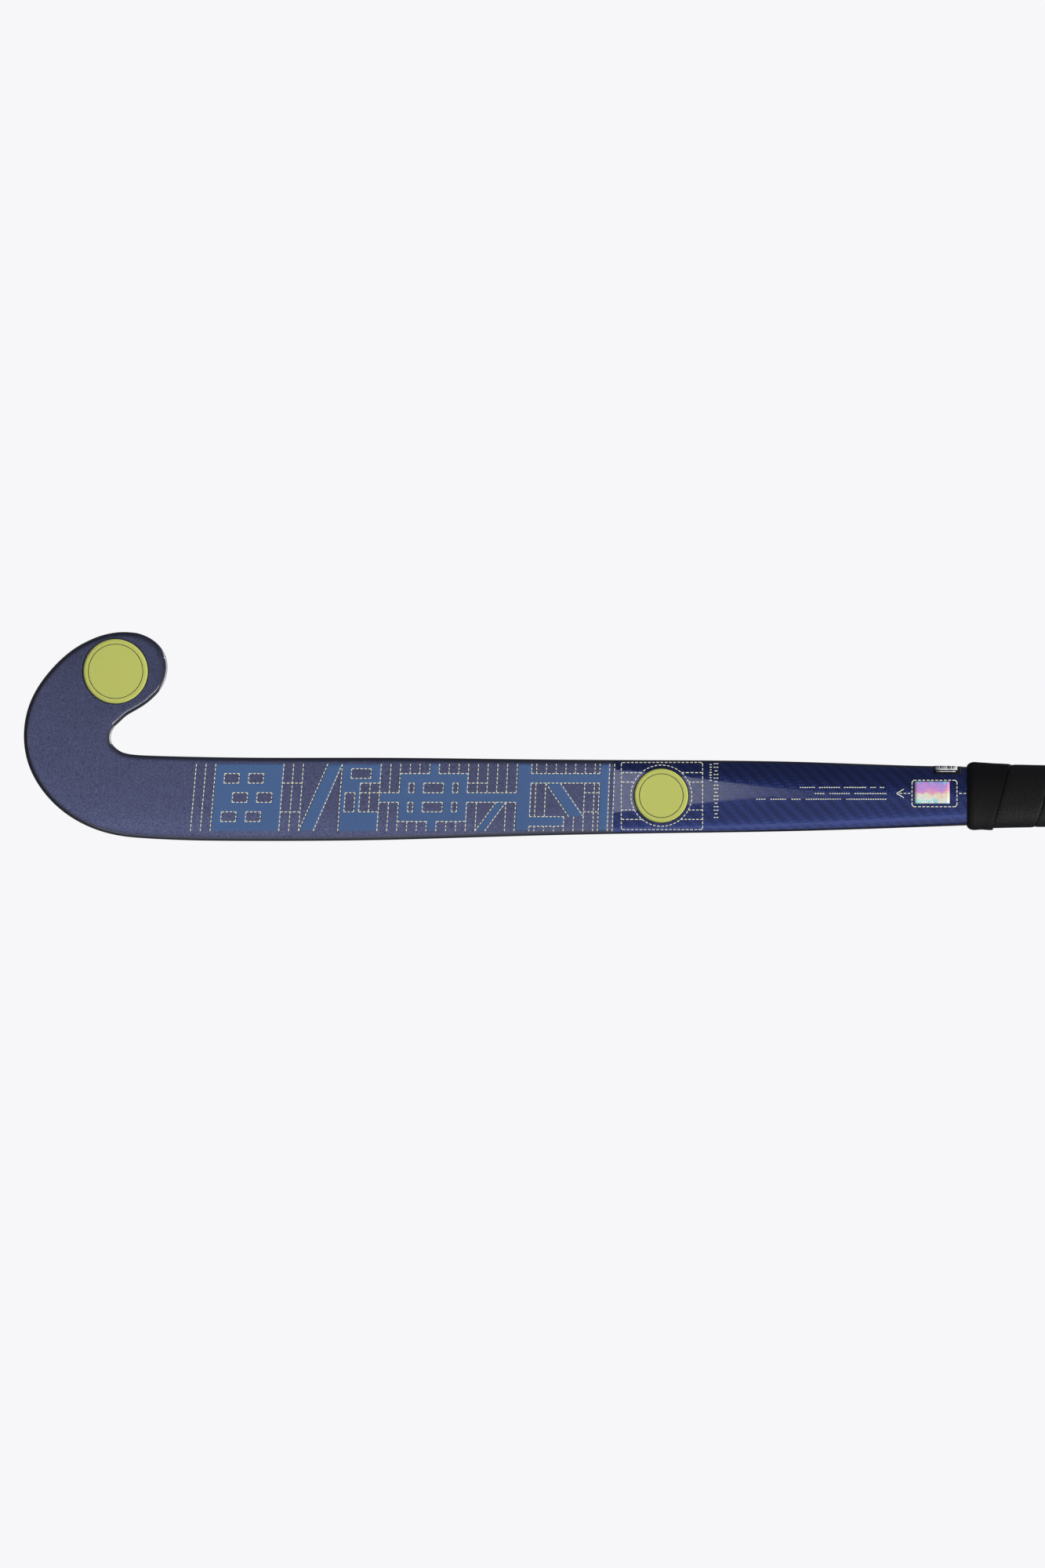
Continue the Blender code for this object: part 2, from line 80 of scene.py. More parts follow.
# Body of the stick, from butt to toe. Each station is a chord across the flat side:
# outer edge (x, z), inner edge (x, z), thickness, outer and inner edge rounding, edge height
STATIONS = [
    ((15.2, 921.0), (-15.2, 921.0), 25.0, 14.8, 14.8, 11.5),
    ((15.2, 760.0), (-15.2, 760.0), 25.0, 14.8, 14.8, 11.5),
    ((15.2, 640.0), (-15.2, 640.0), 25.0, 14.8, 14.8, 11.5),
    ((15.7, 585.0), (-15.6, 585.0), 24.7, 15.3, 15.2, 11.4),
    ((16.9, 541.0), (-16.8, 541.0), 24.2, 16.6, 16.2, 11.0),
    ((17.9, 513.0), (-17.4, 513.0), 23.7, 18.2, 16.2, 10.4),
    ((20.1, 446.0), (-19.6, 446.0), 22.8, 21.4, 16.6, 9.0),
    ((21.4, 365.0), (-20.6, 365.0), 22.0, 15.4, 8.0, 6.8),
    ((23.0, 284.0), (-21.2, 284.0), 21.3, 8.4, 3.6, 5.2),
    ((25.3, 203.0), (-22.0, 203.0), 20.8, 4.2, 2.9, 4.3),
    ((25.8, 125.0), (-22.1, 125.0), 20.6, 2.8, 2.6, 4.0),
    ((24.3, 69.8), (-23.2, 72.5), 20.5, 2.6, 2.6, 4.0),
    ((19.6, 42.3), (-24.8, 57.3), 20.5, 2.6, 2.6, 4.0),
    ((7.0, 20.1), (-28.1, 52.0), 20.5, 2.6, 2.6, 4.0),
    ((-17.0, 3.0), (-31.5, 49.9), 20.5, 2.6, 3.0, 4.0),
    ((-42.7, 0.6), (-36.2, 50.1), 20.4, 2.6, 3.8, 4.0),
    ((-66.2, 10.5), (-40.2, 52.2), 20.2, 2.6, 4.4, 4.0),
    ((-80.8, 23.9), (-40.8, 52.9), 20.0, 2.6, 4.6, 4.0),
    ((-92.0, 43.5), (-47.1, 59.6), 19.6, 2.8, 4.2, 4.0),
]
HEAD_START = 11  # the station where the shaft ends and the hook begins
TOE_REACH = 31.4  # length of the half-oval toe end beyond the last station
DOME_POWER = 2.3
REAR = STATIONS[0][2] / 2  # depth of the handle's axis behind the playing side
SHELL_WALL = 2.5
LEAST_ROUNDING = 0.5  # left at an edge when the skin is drawn in
SETTLE_ROUNDS = 8  # repeats that settle a corner's place round the toe end

# Fineness of the finished skin
SHAFT_RING_STEP = 4.0
HOOK_RINGS = 90
TOE_RINGS = 26
CORNER_STEPS = 18
FLAT_STEPS = 6
DOME_STEPS = 40
SOFT_PART, SOFT_PASSES = 4, 5  # the joint between the hook and the toe end is evened out
SHARP_ANGLE = 38.0  # degrees between faces, above which an edge is sharp

# Hand grip
GRIP_LOW = 541.0
TAPE_LOW, TAPE_HIGH = 1.1, 2.2  # the tape's two faces above the laminate
TAPE_SEAM = 560.5  # height of the first seam on the middle of the playing side
TAPE_STEPS = 90  # rings in one turn of the tape
TAPE_GAP, TAPE_END = 0.1, 2.0  # gap between two turns, and how far the strip's ends stay in
TAPE_PROFILE = [  # shares of the strip's width and of its thickness
    (0.0, 0.0),
    (0.5, 0.0),
    (1.0, 0.0),
    (1.0, 0.55),
    (0.985, 0.85),
    (0.955, 1.0),
    (0.9, 1.0),
    (0.7, 0.97),
    (0.5, 0.95),
    (0.3, 0.93),
    (0.12, 0.9),
    (0.06, 0.84),
    (0.025, 0.66),
    (0.0, 0.3),
]
FINISH_HIGH = 3.0  # lift of the finishing band's face, which FINISH_PROFILE takes shares of
FINISH_UNDER = 0.755
FINISH_TILT = 4.6  # drop of its upper edge from the middle to the heel side
FINISH_CREASE = 0.12
FINISH_PROFILE = [  # share of the way up, lift, and how much the wrap bunches up on the heel side
    (0.0, 0.94, 0.0),
    (0.2, 0.96, 0.0),
    (0.4, 0.9, 0.03),
    (0.7, 0.82, 0.14),
    (0.92, 0.79, 0.27),
    (1.0, 0.775, 0.24),
]
START_ROUNDING = 4.5  # height over which the wraps rise from the laminate
GRIP_SIDES = 144  # points round the finishing band and the butt cap
CAP_PROFILE = [  # height, lift from the laminate, and how far the ring is drawn in to the middle
    (899.6, -2.9, 0.0),
    (SHELL_TOP + 0.3, -2.9, 0.0),
    (SHELL_TOP + 0.3, 2.0, 0.0),
    (922.0, 2.2, 0.0),
    (923.0, 2.2, 0.0),
    (923.2, 1.95, 0.0),
    (923.6, 1.95, 0.0),
    (923.8, 2.2, 0.0),
    (925.3, 2.2, 0.0),
    (926.1, 1.9, 0.0),
    (926.7, 1.2, 0.0),
    (TOTAL_LENGTH, 0.2, 0.0),
    (TOTAL_LENGTH, 0.0, 0.30),
    (926.5, 0.0, 0.34),
    (926.5, 0.0, 0.40),
    (TOTAL_LENGTH, 0.0, 0.44),
    (TOTAL_LENGTH, 0.0, 0.82),
    (926.4, 0.0, 0.87),
]

# Where the satin head ends and the clear-lacquered twill begins
LACQUER_START = 338.0
# Painted sheen: one tow direction is painted this much lighter than the other
TOW_SHEEN = 1.35  # a tow lying across, against one lying along
# The head's paint and the lacquered twill, in this order
FACE_ROUGHNESS = (0.42, 0.34)
FACE_METALLIC = (0.15, 0.9)
# Painted shade: the laminate's colour is darkened along its outline, where the edges turn from the light
RIM_SHADE_REACH = (3.8, 1.6)  # how far in the dark rim fades out
RIM_SHADE_SOLID = 0.3
COAT_ROUGHNESS = 0.08

# Printed pattern: a grid of cells on the lower shaft, whose cross lines lean towards the head
BAND_LOW, BAND_HIGH = 97.0, 338.0
BAND_TOE, BAND_HEEL = -18.4, 20.1
BAND_COLUMNS, BAND_ROWS = 43, 7
LEAN_LOW, LEAN_HIGH = 0.09, 0.04
PRINT_LIFT, PRINT_THICK = 0.04, 0.03
MARK_LIFT = 0.1
PRINT_ROUGHNESS = 0.42
STICKER_THICK = 0.05

# Blue fields of the pattern in cells: first and last column, first and last row
FIELDS = [
    (2, 9, 0, 7),
    (15, 19, 0, 2),
    (15, 17, 2, 7),
    (17, 19, 5, 7),
    (19, 21, 3, 4),
    (21, 28, 1, 6),
    (24, 25, 0, 1),
    (24, 25, 6, 7),
    (28, 33, 3, 4),
    (33, 34.5, 0, 7),
    (34.5, 41.4, 1, 2),
    (34.5, 38, 5.5, 6.5),
    (41.4, 42.6, 0, 7),
]
# Windows left out of the fields
WINDOWS = [
    (3, 4.5, 1, 2),
    (5.5, 7, 1, 2),
    (4, 5.5, 3, 4),
    (6.5, 8, 3, 4),
    (3, 4.5, 5, 6),
    (5.5, 7, 5, 6),
    (16, 18, 0.5, 1.5),
    (15.5, 16.5, 3, 5),
    (22, 22.5, 2, 3),
    (23.5, 25.5, 2, 3),
    (26.5, 27, 2, 3),
    (22, 22.5, 4, 5),
    (23.5, 25.5, 4, 5),
    (26.5, 27, 4, 5),
]
# Leaning bands through dark cells: first and last column, the rows it starts and ends at, width
SLANTS = [
    (11, 15, 7, 0, 1.5),
    (29, 32, 7, 4, 1),
    (36, 40, 2, 5.5, 1.5),
]
# Short lines along the shaft in dark cells: row, first and last column
RUNGS = [
    (2, 9, 11),
    (5, 9, 11),
    (3, 17, 19),
    (2, 28, 30),
    (3, 40, 41.4),
    (5, 40, 41.4),
]

# Upper shaft prints
PANEL = (342.5, 389.2, -19.2, 19.2)
PANEL_ROWS = (-13.4, -8.0, 8.0, 13.4)
SHAFT_BADGE = (-0.2, 365.5, 15.5)  # x, z, radius
TOE_BADGE = (-71.5, 52.5, 18.5)
BADGE_RINGS = ((-0.05, 0.55), (-3.1, -2.75))  # a badge's dark rings, from its radius
BADGE_CLEAR = 2.0  # between the badge and the dashed circle round it
PANEL_CORNER, FRAME_CORNER = 0.8, 1.0
MARK_COLUMNS = (  # height, x of the two ends, length of a mark, step to the next
    (396.9, -18.5, 14.0, 2.6, 2.05),
    (393.8, -18.0, -8.5, 1.3, 1.5),
)
FINE_DASH = (0.9, 0.5, 0.5)  # length, gap and width
MARK_ROWS = [  # x, and the heights of the words' ends
    (-4.9, (445.0, 453.6, 456.0, 468.0, 470.4, 483.0, 485.4, 488.6, 491.0, 493.4)),
    (-1.4, (453.5, 459.0, 462.0, 473.6, 476.4, 494.6)),
    (1.8, (420.0, 425.2, 428.2, 437.0, 440.2, 445.4, 448.4, 468.6, 471.6, 494.6)),
]
ARROW = (500.6, 4.1, 2.5, -1.5)  # height of its point, length and half width of its head, and x
GUIDE_FRAME = (509.4, 535.2, -9.0, 6.1)
FOIL = (510.9, 531.0, -8.3, 4.2)
LABEL = (521.8, 538.0, -34.0, -13.2)  # heights, and distances round the skin from its middle
LABEL_BARS = (0.5, 1.2, 0.8, 0.5, 1.6, 0.7, 1.1, 0.5)
LABEL_BAR_STEP = 1.4
LABEL_LIFTS = (0.1, 0.2, 0.28)  # of the base, the face and the bars

# Studio
CAMERA_DISTANCE = 20.0
VIEW_HIGH = 0.9
VIEW_CENTRE = (-6.9, 285.8)  # x and height
FLOOR_DROP, FLOOR_REACH = 0.025, 0.62
FLOOR_FADE = (0.15, 0.6)  # the floor is solid inside the first radius and gone at the second
FLOOR_SEEN, FLOOR_LIT = (0.86, 0.86, 0.87), (0.12, 0.12, 0.12)
SKY_SEEN, SKY_LIT = (0.93, 0.93, 0.947), (0.09, 0.095, 0.11)
STRIP_WIDTH = 0.15  # lights up to this wide are seen in gloss only


# Shape of the body


def to_world(x, y, z):
    """Metres in the stick's frame, from millimetres with z above the head's lowest point."""
    return np.stack(np.broadcast_arrays(x, y, z - GRIP_CENTRE), axis=-1) * 0.001


def bow(z):
    """Forward lean: zero, then the slope times bend squared over twice the bend's length, then straight."""
    bend = np.clip(BOW_HIGH - z, 0.0, BOW_HIGH - BOW_LOW)
    return -BOW_SLOPE * (bend**2 / (2 * (BOW_HIGH - BOW_LOW)) + np.clip(BOW_LOW - z, 0.0, None))


def natural_spline(knots, values, wanted):
    """Cubic spline through rows of values: bends solved so that slopes meet, and none at the ends."""
    gaps = np.diff(knots)
    slopes = np.diff(values, axis=0) / gaps[:, None]
    count = len(knots)
    system, right = np.eye(count), np.zeros_like(values)
    inner = np.arange(1, count - 1)
    system[inner, inner - 1] = gaps[:-1]
    system[inner, inner] = 2 * (gaps[:-1] + gaps[1:])
    system[inner, inner + 1] = gaps[1:]
    right[1:-1] = 6 * np.diff(slopes, axis=0)
    bends = np.linalg.solve(system, right)
    k = np.clip(np.searchsorted(knots, wanted, side="right") - 1, 0, len(gaps) - 1)
    h, a = gaps[k][:, None], (wanted - knots[k])[:, None]
    b = h - a
    low, high = bends[k], bends[k + 1]
    cubic = (low * b**3 + high * a**3) / (6 * h)
    return cubic + (values[k] / h - low * h / 6) * b + (values[k + 1] / h - high * h / 6) * a


def station_table():
    """The stations as rows of eight numbers, and each one's distance along the stick's middle."""
    rows = np.array([(*outer, *inner, *rest) for outer, inner, *rest in STATIONS])
    middle = (rows[:, 0:2] + rows[:, 2:4]) / 2
    steps = np.linalg.norm(np.diff(middle, axis=0), axis=1)
    return rows, np.concatenate([[0.0], np.cumsum(steps)])


ROWS, ALONG = station_table()
FINE = natural_spline(ALONG, ROWS, np.linspace(0.0, ALONG[HEAD_START], 400))[::-1]


def chords_at(z):
    """Station rows at heights on the shaft or handle, where every chord is level."""
    z = np.asarray(z, dtype=float)
    middle = (FINE[:, 1] + FINE[:, 3]) / 2
    rows = np.stack([np.interp(z, middle, column) for column in FINE.T], axis=-1)
    rows[..., 1] = rows[..., 3] = z
    return rows


def sections(rows, turn=0.0, inset=0.0):
    """Rings of the body at the given chords, as x, depth, z and distance to the outline.

    Across the ring: the flat side at depth `inset`, an elliptical rounding up to the edge height,
    then a dome that rises by the root of one less (1 - gap / half chord) to the dome's power. `turn`
    swings a chord round the half-oval toe end.
    """
    turn = np.broadcast_to(turn, len(rows))[:, None]
    outer, inner = rows[:, 0:2], rows[:, 2:4]
    centre, across = (outer + inner) / 2, (outer - inner) / 2
    thickness, outer_round, inner_round, edge = (rows[:, k : k + 1] for k in (4, 5, 6, 7))
    full = np.linalg.norm(across, axis=1)[:, None]
    across = across / full
    onward = np.stack([across[:, 1], -across[:, 0]], axis=1)
    half, reach, crown = full - inset, TOE_REACH - inset, thickness - inset
    sine, cosine = np.sin(turn), np.cos(turn)
    mean_round = (inner_round + outer_round) / 2

    def corner(sign, rounding):
        angles = np.linspace(0.0, math.pi / 2, CORNER_STEPS + 1)[None, :]
        rounding = rounding + (mean_round - rounding) * sine
        rounding = np.maximum(rounding - inset, LEAST_ROUNDING)
        gap = np.minimum(rounding, reach * (1 - sine)) * (1 - np.sin(angles))
        rise = np.sqrt(np.clip(1 - (1 - gap / rounding) ** 2, 0.0, 1.0))
        depth = edge - (edge - inset) * rise
        rho = 1 - gap / half
        for _ in range(SETTLE_ROUNDS):
            side = np.sqrt(np.clip(rho**2 - sine**2, 0.0, None))
            rho = 1 - gap * np.maximum(rho, 1e-6) / np.hypot(side * half, sine * reach)
        share = np.sqrt(np.clip(rho**2 - sine**2, 0.0, None)) / cosine
        return sign * share * half * cosine, depth

    inner_across, inner_depth = corner(-1, inner_round)
    outer_across, outer_depth = corner(1, outer_round)
    mix = np.linspace(0.0, 1.0, FLAT_STEPS + 1)[None, 1:-1]
    flat = inner_across[:, :1] * (1 - mix) + outer_across[:, :1] * mix
    share = np.cos(np.linspace(0.0, math.pi, DOME_STEPS + 1)[1:-1])[None, :]
    rho = np.sqrt((share * cosine) ** 2 + sine**2)
    radius = np.hypot(share * half * cosine, sine * reach)
    gap = np.where(turn > 0, radius * (1 / np.maximum(rho, 1e-6) - 1), half * (1 - np.abs(share)))
    rise = np.sqrt(1 - np.clip(1 - gap / half, 0.0, 1.0) ** DOME_POWER)
    reaches = [inner_across[:, ::-1], flat, outer_across, share * half * cosine]
    depths = [
        inner_depth[:, ::-1],
        np.broadcast_to(inner_depth[:, :1], flat.shape),
        outer_depth,
        edge + (crown - edge) * rise,
    ]
    reaches, depth = np.concatenate(reaches, axis=1), np.concatenate(depths, axis=1)
    x = centre[:, :1] + reaches * across[:, :1] + sine * reach * onward[:, :1]
    z = centre[:, 1:] + reaches * across[:, 1:] + sine * reach * onward[:, 1:]
    return x, depth, z, full * (1 - np.hypot(reaches / half, sine))


def body_rings(inset=0.0, ring_step=SHAFT_RING_STEP, hook_rings=HOOK_RINGS, toe_rings=TOE_RINGS):
    """World rings from the butt to the toe end (rings x points x 3), and the tip that closes them.

    The third result is each point's distance to the outline, in millimetres.
    """
    shaft = np.arange(0.0, ALONG[HEAD_START], ring_step)
    hook = np.linspace(ALONG[HEAD_START], ALONG[-1], hook_rings)
    rows = natural_spline(ALONG, ROWS, np.concatenate([shaft, hook]))
    turns = math.pi / 2 * np.sin(np.linspace(0.0, math.pi / 2, toe_rings + 1)[1:-1]) ** 0.9
    rows = np.concatenate([rows, np.repeat(rows[-1:], len(turns), axis=0)])
    turns = np.concatenate([np.zeros(len(rows) - len(turns)), turns])
    x, depth, z, gap = sections(rows, turns, inset)
    last = rows[-1]
    across = (last[0:2] - last[2:4]) / np.linalg.norm(last[0:2] - last[2:4])
    tip = (last[0:2] + last[2:4]) / 2 + (TOE_REACH - inset) * np.array([across[1], -across[0]])
    tip_depth = max(last[7], inset + 0.6)
    points = to_world(x, depth - REAR + bow(z), z)
    joint, reach = len(rows) - toe_rings, toe_rings // SOFT_PART
    near = joint + np.arange(-reach, reach + 1)
    for _ in range(SOFT_PASSES):
        points[near] = (points[near - 1] + 2 * points[near] + points[near + 1]) / 4
    return points, to_world(tip[0], tip_depth - REAR + bow(tip[1]), tip[1]), gap


def face_depth(x, z):
    """How far the skin lies behind the flat side's plane: zero, or the edge rounding's ellipse."""
    row = chords_at(z)
    gap = np.minimum(row[..., 0] - x, x - row[..., 2])
    rounding = np.where(x > (row[..., 0] + row[..., 2]) / 2, row[..., 5], row[..., 6])
    inside = np.clip(1 - gap / rounding, 0.0, 1.0)
    return row[..., 7] * (1 - np.sqrt(1 - inside**2))


def on_face(x, z, lift):
    """World points `lift` above the playing side, pushed out along the skin's own normal."""

    def skin(x, z):
        on_shaft = np.where(z > BOW_LOW, face_depth(x, z), 0.0)
        return np.stack([x, on_shaft - REAR + bow(z), z], axis=-1)

    x, z = np.broadcast_arrays(np.asarray(x, dtype=float), np.asarray(z, dtype=float))
    step = 0.05
    normal = np.cross(skin(x + step, z) - skin(x - step, z), skin(x, z + step) - skin(x, z - step))
    normal /= np.linalg.norm(normal, axis=-1, keepdims=True)
    place = skin(x, z) + lift * normal
    return to_world(place[..., 0], place[..., 1], place[..., 2])


def outline_table(heights, count=240):
    """Fine outlines of the handle: points and outward normals at equal distances round each height."""
    x, depth, *_ = sections(chords_at(heights))
    start = CORNER_STEPS + FLAT_STEPS // 2
    loop = np.roll(np.stack([x, depth], axis=-1), -start, axis=1)
    loop[:, 0, 0] = 0.0
    loop = np.concatenate([loop, loop[:, :1]], axis=1)
    distance = np.cumsum(np.linalg.norm(np.diff(loop, axis=1), axis=2), axis=1)
    distance = np.concatenate([np.zeros((len(heights), 1)), distance], axis=1)
    wanted = np.linspace(0.0, 1.0, count, endpoint=False)
    curves = [
        [np.interp(wanted * d[-1], d, ring[:, k]) for k in range(2)]
        for d, ring in zip(distance, loop)
    ]
    curves = np.moveaxis(np.array(curves), 1, 2)
    tangent = np.roll(curves, -1, axis=1) - np.roll(curves, 1, axis=1)
    tangent /= np.linalg.norm(tangent, axis=2, keepdims=True)
    normals = np.stack([tangent[..., 1], -tangent[..., 0]], axis=-1)
    return np.concatenate([curves, normals], axis=2), distance[:, -1]


OUTLINE_Z = np.linspace(500.0, SHELL_TOP, 120)
OUTLINES, GIRTHS = outline_table(OUTLINE_Z)


def on_handle(z, share, lift):
    """World points `lift` above the handle, at a share of the way round from the flat side's middle.

    The outlines are mixed between the two nearest heights and the two nearest points round them.
    """
    z, share, lift = np.broadcast_arrays(np.asarray(z, dtype=float), share, lift)
    place = np.interp(z, OUTLINE_Z, np.arange(len(OUTLINE_Z)))
    low = np.minimum(place.astype(int), len(OUTLINE_Z) - 2)
    up = (place - low)[..., None]
    turn = (share % 1.0) * OUTLINES.shape[1]
    left = np.floor(turn).astype(int) % OUTLINES.shape[1]
    right = (left + 1) % OUTLINES.shape[1]
    side = (turn % 1.0)[..., None]

    def ring(k):
        return OUTLINES[k, left] * (1 - side) + OUTLINES[k, right] * side

    found = ring(low) * (1 - up) + ring(low + 1) * up
    normal = found[..., 2:] / np.linalg.norm(found[..., 2:], axis=-1, keepdims=True)
    point = found[..., :2] + lift[..., None] * normal
    return to_world(point[..., 0], point[..., 1] - REAR + bow(z), z)


# Meshes


def grid_faces(rows, columns, around=False, along=False, start=0):
    """Quads of a grid of points; `around` joins its last column to the first, `along` its rows."""
    index = start + np.arange(rows * columns).reshape(rows, columns)
    if around:
        index = np.concatenate([index, index[:, :1]], axis=1)
    if along:
        index = np.concatenate([index, index[:1]], axis=0)
    corners = [index[:-1, :-1], index[:-1, 1:], index[1:, 1:], index[1:, :-1]]
    return np.stack(corners, axis=-1).reshape(-1, 4)


def fan_faces(ring, pole):
    """Triangles from a closed ring of point numbers to a pole."""
    return np.stack([ring, np.roll(ring, -1), np.full(len(ring), pole)], axis=-1)


def tube_faces(rows, columns):
    """A grid closed round, and fans from its first and last rows to two poles that follow it."""
    first, last = np.arange(columns), (rows - 1) * columns + np.arange(columns)
    low, high = fan_faces(first[::-1], rows * columns), fan_faces(last, rows * columns + 1)
    return [grid_faces(rows, columns, around=True), low, high]


def signed_volume(points, faces):
    """Six times the volume: the sum of every fan triangle's triple product."""
    total = 0.0
    for k in range(1, faces.shape[1] - 1):
        a, b, c = points[faces[:, 0]], points[faces[:, k]], points[faces[:, k + 1]]
        total += np.einsum("ij,ij->", a, np.cross(b, c))
    return total


def put_piece(name, points, face_sets, material, slot, node, closed=True, smooth=True, uv=None):
    """A finished piece from points (metres) and arrays of faces, standing for a CAD node.

    A closed piece whose signed volume is negative is turned right side out. `uv` holds one pair for
    each point, in metres on the skin.
    """
    points = points.reshape(-1, 3)
    if closed and sum(signed_volume(points, faces) for faces in face_sets) < 0:
        face_sets = [faces[:, ::-1] for faces in face_sets]
    mesh = bpy.data.meshes.new(name)
    mesh.from_pydata(points, [], [face for faces in face_sets for face in faces.tolist()])
    if uv is not None:
        corners = np.concatenate([faces.ravel() for faces in face_sets])
        layer = mesh.uv_layers.new(name="skin")
        layer.data.foreach_set("uv", uv.reshape(-1, 2)[corners].astype(np.float32).ravel())
    mesh.materials.append(material)
    mesh.update()
    if smooth:
        mesh.shade_smooth()
        mesh.set_sharp_from_angle(angle=math.radians(SHARP_ANGLE))
    piece = bpy.data.objects.new(name, mesh)
    bpy.context.scene.collection.objects.link(piece)
    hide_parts(node)
    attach(piece, "root")
    return piece


def put_sheet(name, points, face_sets, thick, *rest):
    """An open sheet on the skin, turned to face outwards, with a thin wall grown from it."""
    points = points.reshape(-1, 3)
    height = 1000 * points[:, 2] + GRIP_CENTRE
    outward = points - to_world(0.0, bow(height), height)
    a, b, c = (face_sets[0][:, k] for k in range(3))
    facing = np.cross(points[b] - points[a], points[c] - points[a])
    if np.einsum("ij,ij->", facing, outward[a]) < 0:
        face_sets = [faces[:, ::-1] for faces in face_sets]
    piece = put_piece(name, points, face_sets, *rest, closed=False)
    wall = piece.modifiers.new("print thickness", "SOLIDIFY")
    wall.thickness = thick * 0.001
    wall.offset = 1.0
    return piece


def put_tiles(name, corners, *rest):
    """One piece of thin printed tiles from (tiles, 4, 2) corners on the playing side."""
    x, z = corners[..., 0], corners[..., 1]
    low, high = on_face(x, z, MARK_LIFT), on_face(x, z, MARK_LIFT + PRINT_THICK)
    box = [(3, 2, 1, 0), (4, 5, 6, 7), (0, 1, 5, 4), (1, 2, 6, 5), (2, 3, 7, 6), (3, 0, 4, 7)]
    faces = (np.array(box)[None] + 8 * np.arange(len(corners))[:, None, None]).reshape(-1, 4)
    return put_piece(name, np.concatenate([low, high], axis=1), [faces], *rest, smooth=False)


def dash_corners(runs, dash, gap, width):
    """Corners (dashes, 4, 2) of the dashes along straight runs ((x, z), (x, z)).

    Each run gets the whole number of dashes that fits best, stretched so that both ends are inked.
    """
    runs = np.asarray(runs, dtype=float)
    span = runs[:, 1] - runs[:, 0]
    length = np.linalg.norm(span, axis=1)
    count = np.maximum(1, np.rint((length + gap) / (dash + gap)).astype(int))
    each = (length - (count - 1) * gap) / count
    run = np.repeat(np.arange(len(runs)), count)
    number = np.arange(len(run)) - np.repeat(np.cumsum(count) - count, count)
    ahead = (span / length[:, None])[run]
    side = np.stack([-ahead[:, 1], ahead[:, 0]], axis=1) * width / 2
    start = runs[run, 0] + ahead * (number * (each[run] + gap))[:, None]
    end = start + ahead * each[run][:, None]
    return np.stack([start - side, end - side, end + side, start + side], axis=1)


def put_dashes(name, runs, sizes, *rest):
    """One piece of printed dashes along straight runs on the playing side."""
    corners = dash_corners(runs, sizes.dash_length, sizes.dash_gap, sizes.dash_width)
    return put_tiles(name, corners, *rest)


def frame_runs(low, high, left, right, cut):
    """The eight runs of a rectangle in x and z whose corners are cut off."""
    corners = [
        (right, high - cut),
        (right - cut, high),
        (left + cut, high),
        (left, high - cut),
        (left, low + cut),
        (left + cut, low),
        (right - cut, low),
        (right, low + cut),
    ]
    return list(zip(corners, corners[1:] + corners[:1]))


# Materials


def add(tree, kind, inputs=None, **settings):
    """A node with its settings; `inputs` maps a socket to a value or to another node's output."""
    node = tree.nodes.new(kind)
    for key, value in settings.items():
        setattr(node, key, value)
    for key, value in (inputs or {}).items():
        if isinstance(value, bpy.types.NodeSocket):
            tree.links.new(value, node.inputs[key])
        else:
            node.inputs[key].default_value = value
    return node


def maths(tree, operation, first, second=0.0, third=0.0):
    """Output of a Math node."""
    values = {0: first, 1: second, 2: third}
    return add(tree, "ShaderNodeMath", values, operation=operation).outputs[0]


def map_range(tree, value, low, high, start, end, **settings):
    """Output of a Map Range node: start at low, end at high, and no further."""
    inputs = {0: value, 1: low, 2: high, 3: start, 4: end}
    return add(tree, "ShaderNodeMapRange", inputs, **settings).outputs[0]


def mix_colours(tree, factor, first, second):
    """Colour output of a Mix node; a colour is a socket or three numbers."""
    pair = [(*colour, 1.0) if isinstance(colour, (tuple, list)) else colour for colour in (first, second)]
    inputs = {0: factor, 6: pair[0], 7: pair[1]}
    return add(tree, "ShaderNodeMix", inputs, data_type="RGBA").outputs[2]


def effect(name, inputs, outputs):
    """An empty node group with named sockets, its input node and its output node."""
    group = bpy.data.node_groups.new(name, "ShaderNodeTree")
    for label, kind, default in inputs:
        socket = group.interface.new_socket(label, in_out="INPUT", socket_type=kind)
        if default is not None:
            socket.default_value = default
    for label, kind in outputs:
        group.interface.new_socket(label, in_out="OUTPUT", socket_type=kind)
    return group, group.nodes.new("NodeGroupInput"), group.nodes.new("NodeGroupOutput")


FLOAT, VECTOR, COLOUR = "NodeSocketFloat", "NodeSocketVector", "NodeSocketColor"


def grain_effect():
    """Fine speckle with a slower drift: tints a colour and gives a height."""
    group, given, result = effect(
        "surface grain",
        [
            ("Vector", VECTOR, None),
            ("Colour", COLOUR, (0.5, 0.5, 0.5, 1.0)),
            ("Size", FLOAT, 0.0006),
            ("Contrast", FLOAT, 0.2),
            ("Drift", FLOAT, 0.08),
        ],
        [("Colour", COLOUR), ("Height", FLOAT)],
    )
    scale = maths(group, "DIVIDE", 1.0, given.outputs["Size"])
    noise = {"Vector": given.outputs["Vector"], "Scale": scale, "Detail": 2.0, "Roughness": 0.6}
    speckle = add(group, "ShaderNodeTexNoise", noise).outputs["Fac"]
    slow = {"Vector": given.outputs["Vector"], "Scale": 22.0, "Detail": 3.0}
    drift = add(group, "ShaderNodeTexNoise", slow).outputs["Fac"]
    fine = maths(group, "MULTIPLY", maths(group, "SUBTRACT", speckle, 0.5), given.outputs["Contrast"])
    wide = maths(group, "MULTIPLY", maths(group, "SUBTRACT", drift, 0.5), given.outputs["Drift"])
    factor = maths(group, "ADD", maths(group, "ADD", maths(group, "MULTIPLY", fine, 5.0), wide), 1.0)
    tint = {0: given.outputs["Colour"], "Scale": maths(group, "MAXIMUM", factor, 0.1)}
    shaded = add(group, "ShaderNodeVectorMath", tint, operation="SCALE").outputs[0]
    group.links.new(shaded, result.inputs["Colour"])
    group.links.new(speckle, result.inputs["Height"])
    return group


